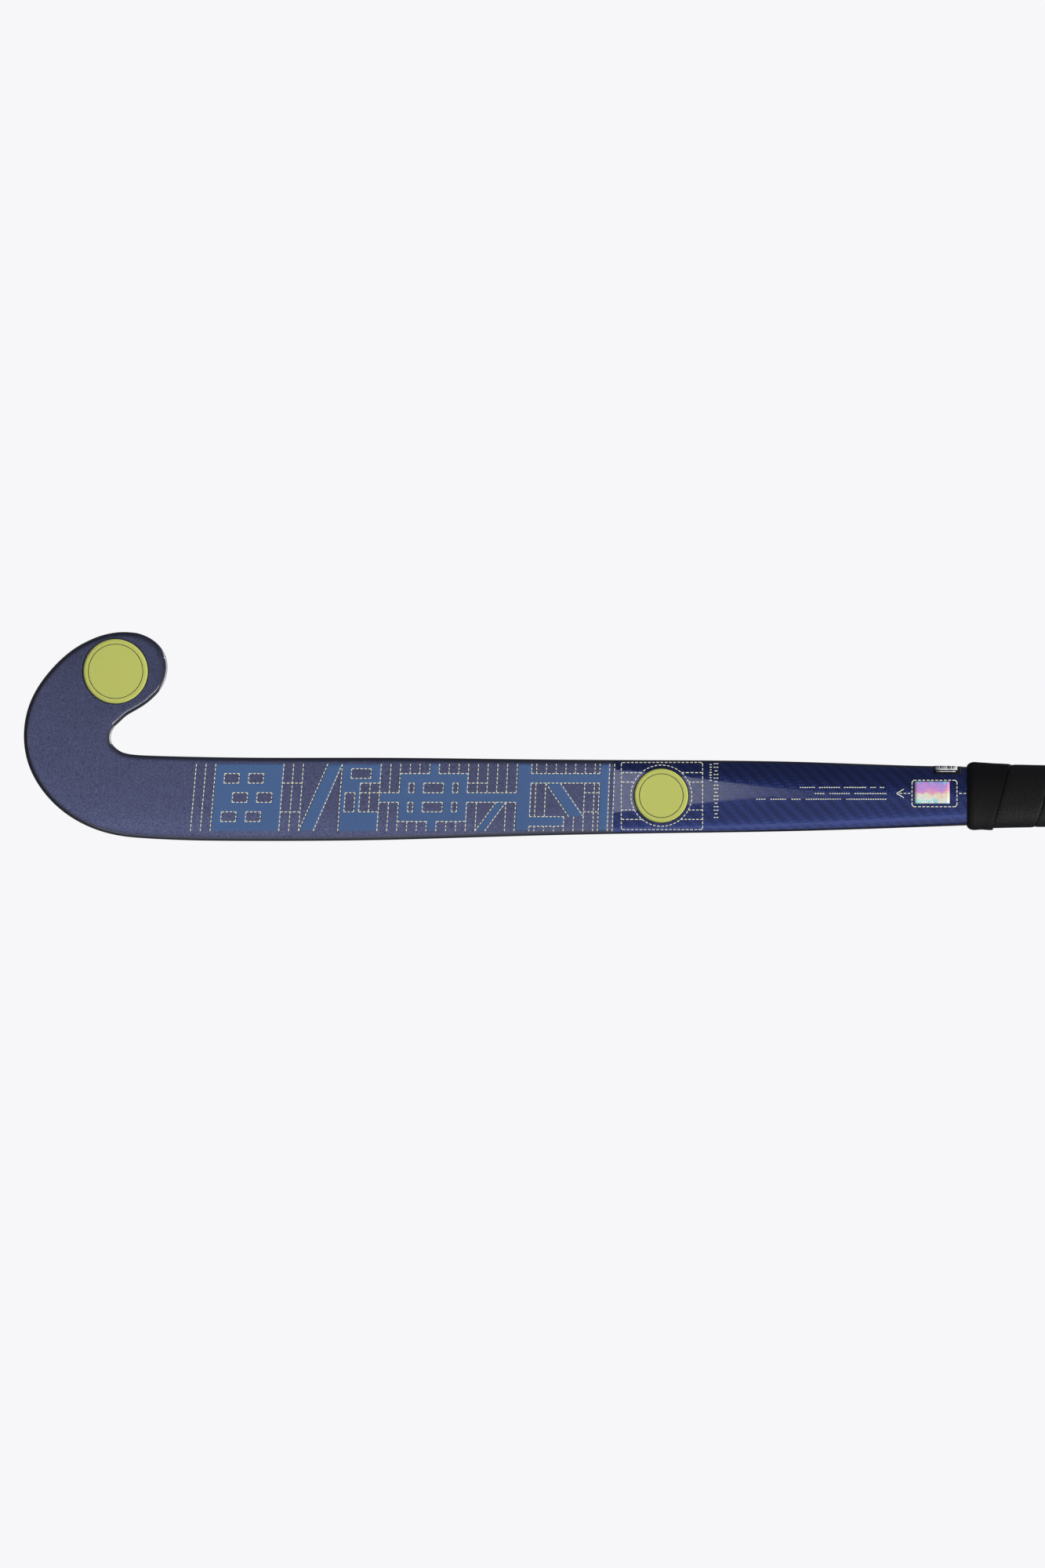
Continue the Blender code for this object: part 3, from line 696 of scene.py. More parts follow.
def twill_effect():
    """Two-by-two twill: a tow is on top where (column - row) mod 4 is under 2, and is a round ridge."""
    group, given, result = effect(
        "twill weave",
        [("Vector", VECTOR, None), ("Pitch", FLOAT, 0.0022)],
        [("Warp", FLOAT), ("Height", FLOAT)],
    )
    split = add(group, "ShaderNodeSeparateXYZ", {0: given.outputs["Vector"]})
    across = maths(group, "DIVIDE", split.outputs[0], given.outputs["Pitch"])
    along = maths(group, "DIVIDE", split.outputs[1], given.outputs["Pitch"])
    steps = maths(group, "SUBTRACT", maths(group, "FLOOR", across), maths(group, "FLOOR", along))
    warp = maths(group, "LESS_THAN", maths(group, "FLOORED_MODULO", steps, 4.0), 1.5)

    def ridge(value):
        return maths(group, "ABSOLUTE", maths(group, "SINE", maths(group, "MULTIPLY", value, math.pi)))

    over = add(group, "ShaderNodeMix", {0: warp, 2: ridge(along), 3: ridge(across)})
    group.links.new(warp, result.inputs["Warp"])
    group.links.new(over.outputs[0], result.inputs["Height"])
    return group


def smudge_effect():
    """Roughness of a handled surface: the given value, raised and lowered in soft patches."""
    group, given, result = effect(
        "handling marks",
        [("Vector", VECTOR, None), ("Roughness", FLOAT, 0.4), ("Amount", FLOAT, 0.1)],
        [("Roughness", FLOAT)],
    )
    patches = {"Vector": given.outputs["Vector"], "Scale": 60.0, "Detail": 4.0}
    patch = add(group, "ShaderNodeTexNoise", patches).outputs["Fac"]
    change = maths(group, "MULTIPLY", maths(group, "SUBTRACT", patch, 0.5), given.outputs["Amount"])
    total = maths(group, "ADD", given.outputs["Roughness"], change)
    group.links.new(maths(group, "MAXIMUM", total, 0.02), result.inputs["Roughness"])
    return group


EFFECTS = {"surface grain": grain_effect, "twill weave": twill_effect, "handling marks": smudge_effect}


def place_effect(tree, name, inputs):
    """A shared effect placed in a material, made the first time it is asked for."""
    group = bpy.data.node_groups.get(name) or EFFECTS[name]()
    return add(tree, "ShaderNodeGroup", inputs, node_tree=group)


def new_material(name):
    """A material with its tree, its Principled shader and the Object coordinates."""
    material = bpy.data.materials.new(name)
    material.use_nodes = True
    tree = material.node_tree
    place = add(tree, "ShaderNodeTexCoord").outputs["Object"]
    return material, tree, tree.nodes["Principled BSDF"], place


def set_shader(shader, **constants):
    """Constants on the shader's own sockets, with spaces for underlines."""
    for key, value in constants.items():
        shader.inputs[key.replace("_", " ")].default_value = value


def bump(tree, shader, height, distance):
    """Relief of the given depth in metres."""
    node = add(tree, "ShaderNodeBump", {"Height": height, "Distance": distance, "Strength": 1.0})
    tree.links.new(node.outputs["Normal"], shader.inputs["Normal"])


def speckled(material, colour, size, contrast, drift, roughness, amount):
    """Links a speckled colour and a handled roughness to the shader; returns the speckle's height."""
    _, tree, shader, place = material
    values = {"Vector": place, "Colour": (*colour, 1.0), "Size": size, "Contrast": contrast, "Drift": drift}
    grain = place_effect(tree, "surface grain", values)
    values = {"Vector": place, "Roughness": roughness, "Amount": amount}
    marks = place_effect(tree, "handling marks", values)
    tree.links.new(grain.outputs["Colour"], shader.inputs["Base Color"])
    tree.links.new(marks.outputs["Roughness"], shader.inputs["Roughness"])
    return grain.outputs["Height"]


def grained(name, colour, roughness, size=0.0006, contrast=0.1, depth=0.00003, drift=0.1, **constants):
    """A coated or moulded finish: speckled colour, handled roughness and fine relief."""
    found = bpy.data.materials.get(name)
    if found:
        return found
    made = new_material(name)
    material, tree, shader, _ = made
    height = speckled(made, colour, size, contrast, drift, roughness, 0.12)
    bump(tree, shader, height, depth)
    set_shader(shader, **constants)
    return material


def laminate_finish(colours, sizes):
    """Satin metallic indigo on the head, with painted shade towards the toe and painted light along the heel
    side, lacquered twill above it, and painted shade by the outline.
    """
    material, tree, shader, place = new_material("laminate finish")
    split = add(tree, "ShaderNodeSeparateXYZ", {0: place})
    across, height = split.outputs[0], split.outputs[2]
    lacquer = maths(tree, "GREATER_THAN", height, (LACQUER_START - GRIP_CENTRE) * 0.001)

    def either(paint, twill):
        return maths(tree, "MULTIPLY_ADD", lacquer, twill - paint, paint)

    skin = add(tree, "ShaderNodeUVMap", uv_map="skin").outputs[0]
    weave = place_effect(tree, "twill weave", {"Vector": skin, "Pitch": sizes.tow_pitch})
    paint = {"Vector": place, "Colour": (*colours.head, 1.0), "Size": 0.0007, "Contrast": 0.5, "Drift": 0.3}
    grain = place_effect(tree, "surface grain", paint)
    # Painted shade and light: the paint is painted darker towards the toe and lighter along the heel side
    above = maths(tree, "MINIMUM", maths(tree, "ADD", height, GRIP_CENTRE * 0.001), 0.06)
    painted_shade_ramp = maths(tree, "MULTIPLY_ADD", above, -0.5, across)
    painted_shade_ramp = map_range(tree, painted_shade_ramp, -0.1, -0.012, 0.68, 1.12)
    # Painted light along the heel side
    heel = map_range(tree, across, 0.004, 0.019, 1.0, 1.15, interpolation_type="SMOOTHSTEP")
    tint = {0: grain.outputs["Colour"], "Scale": maths(tree, "MULTIPLY", painted_shade_ramp, heel)}
    satin = add(tree, "ShaderNodeVectorMath", tint, operation="SCALE").outputs[0]
    # Painted sheen: the tows on top one way are painted lighter
    dark, light = tuple(colours.twill), tuple(TOW_SHEEN * part for part in colours.twill)
    tow = mix_colours(tree, weave.outputs["Warp"], dark, light)
    fibre = {"Vector": place, "Colour": tow, "Size": 0.0004, "Contrast": 0.06, "Drift": 0.3}
    fibres = place_effect(tree, "surface grain", fibre)
    face = mix_colours(tree, lacquer, satin, fibres.outputs["Colour"])
    # Painted shade along the outline: one near the outline and zero from the rim's reach inwards
    gap = add(tree, "ShaderNodeAttribute", attribute_name="outline_gap").outputs["Fac"]
    reach = either(*RIM_SHADE_REACH)
    rim = map_range(tree, gap, RIM_SHADE_SOLID, reach, 1.0, 0.0, interpolation_type="SMOOTHSTEP")
    tree.links.new(mix_colours(tree, rim, face, tuple(colours.rim)), shader.inputs["Base Color"])
    handled = {"Vector": place, "Roughness": FACE_ROUGHNESS[0], "Amount": 0.1}
    marks = place_effect(tree, "handling marks", handled)
    rough = {0: lacquer, 2: marks.outputs["Roughness"], 3: FACE_ROUGHNESS[1]}
    rough = add(tree, "ShaderNodeMix", rough).outputs[0]
    tree.links.new(rough, shader.inputs["Roughness"])
    tree.links.new(either(*FACE_METALLIC), shader.inputs["Metallic"])
    coat = maths(tree, "MINIMUM", maths(tree, "MULTIPLY_ADD", rim, 2.0, lacquer), 1.0)
    tree.links.new(coat, shader.inputs["Coat Weight"])
    relief = {0: lacquer, 2: grain.outputs["Height"], 3: weave.outputs["Height"]}
    bump(tree, shader, add(tree, "ShaderNodeMix", relief).outputs[0], 0.00006)
    set_shader(shader, Coat_Roughness=COAT_ROUGHNESS)
    return material


def tape_finish(colours, sizes):
    """Matt black polyurethane with a pressed pebble, fine wrinkles and shallow wear."""
    made = new_material("grip polyurethane")
    material, tree, shader, place = made
    speckled(made, colours.grip, 0.0009, 0.06, 0.5, 0.5, 0.25)
    pebbles = add(tree, "ShaderNodeTexVoronoi", {"Vector": place, "Scale": 1.0 / sizes.pebble}, feature="F1")
    stretched = add(tree, "ShaderNodeMapping", {"Vector": place, "Scale": (900.0, 900.0, 120.0)})
    wrinkles = add(tree, "ShaderNodeTexNoise", {"Vector": stretched.outputs[0], "Scale": 1.0, "Detail": 4.0})
    height = maths(tree, "MULTIPLY_ADD", wrinkles.outputs["Fac"], 0.7, pebbles.outputs["Distance"])
    bump(tree, shader, height, 0.00022)
    set_shader(shader, Specular_IOR_Level=0.32)
    return material


def foil_finish():
    """Diffractive foil: its rainbow reflection is painted as facets from blue and pink to white and cyan,
    with a fine ruled relief.
    """
    material, tree, shader, place = new_material("diffractive foil")
    facets = {"Vector": place, "Scale": 320.0}
    facets = add(tree, "ShaderNodeTexVoronoi", facets, feature="F1", distance="MANHATTAN")
    facet = add(tree, "ShaderNodeSeparateColor", {0: facets.outputs["Color"]}).outputs[0]
    across = add(tree, "ShaderNodeSeparateXYZ", {0: place}).outputs[0]
    # Painted reflection: the rainbow colours sweep across the foil and stay in place
    sweep = maths(tree, "MULTIPLY_ADD", across, 64.0, 0.36)
    phase = maths(tree, "MULTIPLY_ADD", facet, 0.3, sweep)
    ramp = add(tree, "ShaderNodeValToRGB", {0: maths(tree, "FRACT", phase)})
    stops = [
        (0.0, (0.35, 0.42, 0.95)),
        (0.2, (0.75, 0.35, 0.85)),
        (0.36, (0.95, 0.45, 0.62)),
        (0.5, (0.98, 0.86, 0.62)),
        (0.64, (0.95, 0.98, 0.92)),
        (0.82, (0.45, 0.93, 0.86)),
        (1.0, (0.35, 0.42, 0.95)),
    ]
    ramp.color_ramp.elements[0].color = (*stops[0][1], 1.0)
    ramp.color_ramp.elements[1].color = (*stops[-1][1], 1.0)
    for at, colour in stops[1:-1]:
        ramp.color_ramp.elements.new(at).color = (*colour, 1.0)
    rule = add(tree, "ShaderNodeTexWave", {"Vector": place, "Scale": 900.0, "Distortion": 1.5})
    tree.links.new(ramp.outputs[0], shader.inputs["Base Color"])
    bump(tree, shader, rule.outputs["Fac"], 0.00002)
    marks = place_effect(tree, "handling marks", {"Vector": place, "Roughness": 0.42, "Amount": 0.1})
    tree.links.new(marks.outputs["Roughness"], shader.inputs["Roughness"])
    set_shader(shader, Metallic=0.25)
    return material


def woven_finish(name, colour, pitch, roughness):
    """Resin-bound cloth: two tow shades over a twill relief."""
    material, tree, shader, place = new_material(name)
    turned = add(tree, "ShaderNodeMapping", {"Vector": place, "Rotation": (math.pi / 2, 0.0, 0.0)})
    weave = place_effect(tree, "twill weave", {"Vector": turned.outputs[0], "Pitch": pitch})
    tow = mix_colours(tree, weave.outputs["Warp"], [0.7 * part for part in colour], colour)
    grain = place_effect(tree, "surface grain", {"Vector": place, "Colour": tow, "Size": 0.0005})
    tree.links.new(grain.outputs["Colour"], shader.inputs["Base Color"])
    bump(tree, shader, weave.outputs["Height"], 0.00008)
    set_shader(shader, Roughness=roughness)
    return material


# Settings a user would change

LENGTH = {"subtype": "DISTANCE", "unit": "LENGTH"}


def size_property(name, description, default, **kind):
    """A size that can be doubled or brought down to a fifth."""
    span = {"default": default, "min": default / 5, "max": default * 2}
    return bpy.props.FloatProperty(name=name, description=description, **span, **kind)


class StickSizes(bpy.types.PropertyGroup):
    """Sizes of the prints, the weave and the grip"""

    dash_length: size_property("Dash length", "Length of a printed dash in millimetres", 1.5)
    dash_gap: size_property("Dash gap", "Bare stretch between two dashes in millimetres", 0.9)
    dash_width: size_property("Dash width", "Width of a printed dash in millimetres", 0.44)
    tow_pitch: size_property("Tow pitch", "Width of one carbon tow", 0.0018, **LENGTH)
    tape_pitch: size_property("Tape pitch", "Rise of the grip tape in one turn, in millimetres", 25.0)
    pebble: size_property("Pebble", "Size of the grip's pressed pebble", 0.0013, **LENGTH)


def colour_property(name, description, default):
    """A colour in the scene's linear space."""
    return bpy.props.FloatVectorProperty(
        name=name, description=description, default=default, subtype="COLOR", min=0.0, max=1.0
    )


class StickColours(bpy.types.PropertyGroup):
    """Colours of the paint, prints and grip"""

    head: colour_property("Head paint", "Satin paint of the head", (0.085, 0.095, 0.19))
    # Painted shade: the laminate is darkened to this colour along its outline
    rim: colour_property("Painted rim shade", "Painted shade along the outline", (0.008, 0.009, 0.02))
    twill: colour_property("Twill", "Lacquered twill of the upper shaft", (0.034, 0.056, 0.23))
    blue: colour_property("Blue print", "Fields of the printed pattern", (0.068, 0.135, 0.3))
    lime: colour_property("Lime print", "The two badges", (0.57, 0.605, 0.143))
    cream: colour_property("Cream print", "Dashes and fine marks", (0.9, 0.9, 0.68))
    grip: colour_property("Grip", "Polyurethane tape", (0.007, 0.007, 0.0073))


def sizes_and_colours(context):
    """The two groups of settings."""
    return context.scene.stick_sizes, context.scene.stick_colours


def print_finish(name, colour, **values):
    """Ink: a little speckle and a satin face."""
    return grained(name, colour, PRINT_ROUGHNESS, **values)


def cream_finish(colours):
    """The ink of every dashed line and fine mark."""
    return print_finish("cream print", colours.cream, size=0.002, contrast=0.06)


# Pieces


class STICK_OT_shell(bpy.types.Operator):
    """The moulded laminate, one hollow skin from the butt to the toe"""

    bl_idname = "stick.shell"
    bl_label = "Laminate shell"

    def execute(self, context):
        sizes, colours = sizes_and_colours(context)
        outside, tip, gap = body_rings()
        coarse = {"ring_step": 24.0, "hook_rings": 24, "toe_rings": 8}
        inside, inner_tip, inner_gap = body_rings(SHELL_WALL, **coarse)
        rings = np.concatenate([outside[::-1], inside])
        gap = np.concatenate([gap[::-1], inner_gap])
        count, columns = rings.shape[:2]
        # The rings are turned so that their seam lies at the back, and distances round start from the middle
        # of the flat side
        shift = -(CORNER_STEPS + FLAT_STEPS // 2 + columns // 2)
        turned = np.roll(rings, shift, axis=1)
        gap = np.concatenate([np.roll(gap, shift, axis=1).ravel(), [0.0, 0.0]])
        girth = np.linalg.norm(np.roll(turned, -1, axis=1) - turned, axis=2)
        around = np.concatenate([np.zeros((count, 1)), np.cumsum(girth, axis=1)[:, :-1]], axis=1)
        around -= around[:, [columns // 2]]
        uv = np.stack([around, turned[..., 2]], axis=-1).reshape(-1, 2)
        points = np.concatenate([turned.reshape(-1, 3), tip[None], inner_tip[None]])
        uv = np.concatenate([uv, [[0.0, tip[2]], [0.0, inner_tip[2]]]])
        faces = tube_faces(count, columns)
        material = laminate_finish(colours, sizes)
        skin = put_piece("laminate_skin", points, faces, material, "shell", "laminate_shell", uv=uv)
        outline = skin.data.attributes.new("outline_gap", "FLOAT", "POINT")
        outline.data.foreach_set("value", gap.astype(np.float32))
        return {"FINISHED"}


class STICK_OT_grip(bpy.types.Operator):
    """The wound tape and the finishing band over its lower end"""

    bl_idname = "stick.grip"
    bl_label = "Grip"

    def execute(self, context):
        sizes, colours = sizes_and_colours(context)
        material = tape_finish(colours, sizes)
        self.wind_tape(sizes.tape_pitch, material)
        self.wrap_band()
        return {"FINISHED"}

    @staticmethod
    def start_swell(z):
        """Quarter ellipse that lets the wrap rise from the laminate at its lower end."""
        rest = 1 - np.clip((z - GRIP_LOW) / START_ROUNDING, 0.03, 1.0)
        return np.sqrt(1 - rest**2)

    def wind_tape(self, pitch, material):
        """A profile with a skived lower edge and a rolled upper edge, carried up a helix."""
        share, rise = np.array(TAPE_PROFILE).T
        first = (GRIP_LOW + TAPE_END - TAPE_SEAM) / pitch
        last = (SHELL_TOP - TAPE_END - TAPE_SEAM) / pitch + 1.0
        turn = np.arange(first, last, 1 / TAPE_STEPS)[:, None]
        seam = TAPE_SEAM + pitch * turn
        top = np.minimum(seam, SHELL_TOP)
        bottom = np.maximum(seam - pitch + TAPE_GAP, GRIP_LOW + 0.5)
        z = bottom + (top - bottom) * share
        lift = (TAPE_LOW + (TAPE_HIGH - TAPE_LOW) * rise) * self.start_swell(z)
        points = on_handle(z, -turn, lift)
        faces = tube_faces(*points.shape[:2])
        middles = [points[0].mean(axis=0), points[-1].mean(axis=0)]
        points = np.concatenate([points.reshape(-1, 3), middles])
        put_piece("wound_grip_tape", points, faces, material, "grip", "grip_tape")

    def wrap_band(self):
        """A closed sleeve: a rounded start, a flat run and a thin upper edge that tilts."""
        face = np.array(FINISH_PROFILE)
        up = np.linspace(0.0, 1.0, 48) ** 1.5
        under = up[::-4]
        rise, bunch = natural_spline(face[:, 0], face[:, 1:], up).T
        up = np.concatenate([up, under])[:, None]
        rise = np.concatenate([rise, np.full(len(under), FINISH_UNDER)])[:, None]
        bunch = np.concatenate([bunch, np.zeros(len(under))])[:, None]
        share = np.linspace(0.0, 1.0, GRIP_SIDES, endpoint=False)[None, :]
        side = np.sin(2 * math.pi * share)
        top = TAPE_SEAM - FINISH_TILT * side
        z = GRIP_LOW + (top - GRIP_LOW) * up
        crease = FINISH_CREASE * np.sin(6 * math.pi * up + 10 * math.pi * share) * up * (1 - up)
        rise = rise + bunch * np.clip(side, 0.0, 1.0) ** 2
        lift = FINISH_HIGH * rise * self.start_swell(z) + crease
        points = on_handle(z, share, lift)
        faces = grid_faces(*points.shape[:2], around=True, along=True)
        values = {"size": 0.0008, "contrast": 0.05, "depth": 0.00012, "Specular_IOR_Level": 0.3}
        material = grained("finishing tape", (0.0045, 0.0045, 0.0048), 0.6, **values)
        put_piece("finishing_band", points, [faces], material, "grip", "finishing_tape")


class STICK_OT_butt_cap(bpy.types.Operator):
    """The rubber cap with its rounded rim, pressed rings and stem"""

    bl_idname = "stick.butt_cap"
    bl_label = "Butt cap"

    def execute(self, context):
        height, lift, draw = (column[:, None] for column in np.array(CAP_PROFILE).T)
        share = np.linspace(0.0, 1.0, GRIP_SIDES, endpoint=False)[None, :]
        rings = on_handle(np.full_like(height, SHELL_TOP), share, lift)
        middle = rings.mean(axis=1, keepdims=True)
        points = rings + (middle - rings) * draw[..., None]
        points[..., 2] = (height - GRIP_CENTRE) * 0.001
        faces = tube_faces(*points.shape[:2])
        poles = np.concatenate([points[:1].mean(axis=1), points[-1:].mean(axis=1)])
        values = {"size": 0.0007, "contrast": 0.06, "depth": 0.00008}
        material = grained("butt rubber", (0.014, 0.014, 0.015), 0.6, **values)
        points = np.concatenate([points.reshape(-1, 3), poles])
        put_piece("butt_cap_rubber", points, faces, material, "butt_rubber", "butt_cap")
        return {"FINISHED"}


def cell_place(column, row):
    """x and z of a point of the pattern's grid, whose cross lines lean less and less up the shaft."""
    x = BAND_TOE + (BAND_HEEL - BAND_TOE) * row / BAND_ROWS
    up = column / BAND_COLUMNS
    lean = LEAN_LOW + (LEAN_HIGH - LEAN_LOW) * up
    z = BAND_LOW + (BAND_HIGH - BAND_LOW) * up - lean * (x - (BAND_TOE + BAND_HEEL) / 2)
    return x, z


def field_mask():
    """Half cells of the pattern that are blue: columns x rows."""
    mask = np.zeros((2 * BAND_COLUMNS, 2 * BAND_ROWS), dtype=bool)
    for blocks, value in ((FIELDS, True), (WINDOWS, False)):
        for first, last, low, high in blocks:
            columns = slice(round(2 * first), round(2 * last))
            mask[columns, round(2 * low) : round(2 * high)] = value
    return mask


def straight_runs(edges):
    """Start and end of every unbroken stretch of true values along the second axis."""
    padded = np.zeros((edges.shape[0], edges.shape[1] + 2), dtype=int)
    padded[:, 1:-1] = edges
    change = np.diff(padded, axis=1)
    line, start = np.nonzero(change == 1)
    _, end = np.nonzero(change == -1)
    return line, start, end


class STICK_OT_pattern(bpy.types.Operator):
    """The printed maze of blue fields, leaning bands and dashed lines on the lower shaft"""

    bl_idname = "stick.pattern"
    bl_label = "Shaft pattern"

    def execute(self, context):
        sizes, colours = sizes_and_colours(context)
        mask = field_mask()
        blue = print_finish("blue print", colours.blue, size=0.0005, contrast=0.1, drift=0.14)
        self.print_fields(mask, blue)
        self.print_slants(blue)
        runs = self.cross_lines(mask) + self.long_lines(mask) + self.slant_lines()
        cream = cream_finish(colours)
        put_dashes("pattern_dashes", runs, sizes, cream, "pattern_print", "pattern_film")
        return {"FINISHED"}

    @staticmethod
    def print_fields(mask, material):
        """Blue half cells as one sheet of small quads that share their corners."""
        fine = 3
        cells = np.repeat(np.repeat(mask, fine, axis=0), fine, axis=1)
        columns, rows = cells.shape
        column, row = np.meshgrid(np.arange(columns + 1), np.arange(rows + 1), indexing="ij")
        x, z = cell_place(column / (2 * fine), row / (2 * fine))
        faces = grid_faces(columns + 1, rows + 1)[cells.ravel()]
        used, faces = np.unique(faces, return_inverse=True)
        points = on_face(x, z, PRINT_LIFT).reshape(-1, 3)[used]
        slot = ("pattern_print", "pattern_film")
        put_sheet("pattern_fields", points, [faces.reshape(-1, 4)], PRINT_THICK, material, *slot)

    @staticmethod
    def print_slants(material):
        """Leaning bands: a square bent so that its columns slide from the first row to the last."""
        points, faces = [], []
        for first, last, begin, end, width in SLANTS:
            if begin > end:
                begin, end, first, last = end, begin, last, first
            down, over = np.meshgrid(np.linspace(0, 1, 19), np.linspace(0, width, 9), indexing="ij")
            slide = last - first - math.copysign(width, last - first)
            start = first if first < last else first - width
            x, z = cell_place(start + slide * down + over, begin + (end - begin) * down)
            faces.append(grid_faces(*x.shape, start=sum(len(p) for p in points)))
            points.append(on_face(x, z, PRINT_LIFT).reshape(-1, 3))
        points, faces = np.concatenate(points), [np.concatenate(faces)]
        slot = ("pattern_print", "pattern_film")
        put_sheet("pattern_slants", points, faces, PRINT_THICK, material, *slot)

    @staticmethod
    def cross_lines(mask):
        """Dashed lines across the shaft: at each field's side, and through the dark cells."""
        dark = ~mask
        calm = np.zeros_like(mask)
        zones = WINDOWS + [(a, b, min(c, d), max(c, d)) for a, b, c, d, _ in SLANTS]
        for first, last, low, high in zones:
            calm[round(2 * first) : round(2 * last), round(2 * low) : round(2 * high)] = True
        edge = np.zeros((mask.shape[0] + 1, mask.shape[1]), dtype=bool)
        edge[1:-1] = mask[1:] != mask[:-1]
        whole = np.arange(2, mask.shape[0], 2)
        edge[whole] |= dark[whole] & dark[whole - 1] & ~(calm[whole] & calm[whole - 1])
        edge[0] = edge[-1] = True
        line, start, end = straight_runs(edge)
        return [
            (cell_place(c / 2, a / 2), cell_place(c / 2, b / 2)) for c, a, b in zip(line, start, end)
        ]

    @staticmethod
    def long_lines(mask):
        """Dashed lines along the shaft: at each field's side, and the short rungs."""
        edge = (mask[:, 1:] != mask[:, :-1]).T
        line, start, end = straight_runs(edge)
        runs = [((r + 1) / 2, a / 2, b / 2) for r, a, b in zip(line, start, end)]
        runs += RUNGS
        return [(cell_place(a, row), cell_place(b, row)) for row, a, b in runs]

    @staticmethod
    def slant_lines():
        """Dashed lines down both sides of the leaning bands."""
        runs = []
        for first, last, begin, end, width in SLANTS:
            runs.append((cell_place(first, begin), cell_place(last - width, end)))
            runs.append((cell_place(first + width, begin), cell_place(last, end)))
        return runs


def disc_points(badge, inner, outer, lift, rings=14, count=128):
    """Rings between two radii round a badge's centre, laid on the playing side."""
    x0, z0, _ = badge
    angle = np.linspace(0.0, 2 * math.pi, count, endpoint=False)[None, :]
    radius = np.linspace(inner, outer, rings)[:, None]
    return on_face(x0 + radius * np.cos(angle), z0 + radius * np.sin(angle), lift)


def put_badge(name, badge, colours, node):
    """A lime disc, its dark rim and a thin dark ring inside it."""
    x0, z0, radius = badge
    lime = print_finish("lime print", colours.lime, size=0.0006, contrast=0.03, drift=0.1)
    ink = print_finish("dark ink", (0.012, 0.014, 0.03))
    disc = disc_points(badge, radius, radius / 16, MARK_LIFT)
    middle = on_face(x0, z0, MARK_LIFT).reshape(1, 3)
    count, columns = disc.shape[:2]
    points = np.concatenate([disc.reshape(-1, 3), middle])
    quads = grid_faces(count, columns, around=True)
    fan = fan_faces((count - 1) * columns + np.arange(columns), count * columns)
    put_sheet(name, points, [quads, fan], PRINT_THICK, lime, "lime_print", node)
    for number, (inner, outer) in enumerate(BADGE_RINGS):
        lift = MARK_LIFT + 2 * PRINT_THICK
        ring = disc_points(badge, radius + inner, radius + outer, lift, rings=3)
        faces = grid_faces(*ring.shape[:2], around=True)
        put_sheet(f"{name}_ring_{number}", ring, [faces], PRINT_THICK, ink, "lime_print", node)


class STICK_OT_badges(bpy.types.Operator):
    """The plain lime discs on the toe and on the shaft panel"""

    bl_idname = "stick.badges"
    bl_label = "Badges"

    def execute(self, context):
        _, colours = sizes_and_colours(context)
        put_badge("toe_disc", TOE_BADGE, colours, "toe_badge")
        put_badge("shaft_disc", SHAFT_BADGE, colours, "shaft_badge")
        return {"FINISHED"}


class STICK_OT_panel(bpy.types.Operator):
    """The dashed frame and long dashed lines round the shaft badge"""

    bl_idname = "stick.panel"
    bl_label = "Shaft panel"

    def execute(self, context):
        sizes, colours = sizes_and_colours(context)
        low, high, left, right = PANEL
        runs = frame_runs(low, high, left, right, PANEL_CORNER)
        x0, z0, radius = SHAFT_BADGE
        keep_off = radius + BADGE_CLEAR
        for x in PANEL_ROWS:
            reach = math.sqrt(keep_off**2 - (x - x0) ** 2)
            runs += [((x, low), (x, z0 - reach)), ((x, z0 + reach), (x, high))]
        each = sizes.dash_length + sizes.dash_gap
        step = 2 * math.pi / round(2 * math.pi * keep_off / each)
        starts = np.arange(0.0, 2 * math.pi - step / 2, step)
        ends = starts + step * sizes.dash_length / each
        circle = [
            np.stack([x0 + keep_off * np.cos(angle), z0 + keep_off * np.sin(angle)], axis=-1)
            for angle in (starts, ends)
        ]
        runs += list(zip(*circle))
        cream = cream_finish(colours)
        put_dashes("panel_dashes", runs, sizes, cream, "panel_print", "shaft_panel_film")
        return {"FINISHED"}


class STICK_OT_marks(bpy.types.Operator):
    """Columns and rows of short marks, the arrow and the dashed guide frame"""

    bl_idname = "stick.marks"
    bl_label = "Fine marks"

    def execute(self, context):
        sizes, colours = sizes_and_colours(context)
        cream = cream_finish(colours)
        runs = []
        for z, first, last, tall, step in MARK_COLUMNS:
            for k, x in enumerate(np.arange(first, last, step)):
                reach = tall / 2 * (0.6 if k % 3 == 2 else 1.0)
                runs.append(((x, z - reach), (x, z + reach)))
        for x, ends in MARK_ROWS:
            runs += [((x, a), (x, b)) for a, b in zip(ends[::2], ends[1::2])]
        corners = dash_corners(runs, *FINE_DASH)
        put_tiles("fine_marks", corners, cream, "fine_print", "spec_line_film")

        point, head, half, x = ARROW
        strokes = [((x, point), (x + side * half, point + head)) for side in (-1, 1)]
        corners = dash_corners(strokes, 2 * head, sizes.dash_gap, sizes.dash_width)
        put_tiles("arrow_head", corners, cream, "fine_print", "guide_frame_film")
        low, high, left, right = GUIDE_FRAME
        runs = [((x, point + 1.6), (x, low - 1.0)), ((x, high + 1.2), (x, GRIP_LOW - 0.5))]
        runs += frame_runs(low, high, left, right, FRAME_CORNER)
        put_dashes("guide_frame", runs, sizes, cream, "fine_print", "guide_frame_film")
        return {"FINISHED"}


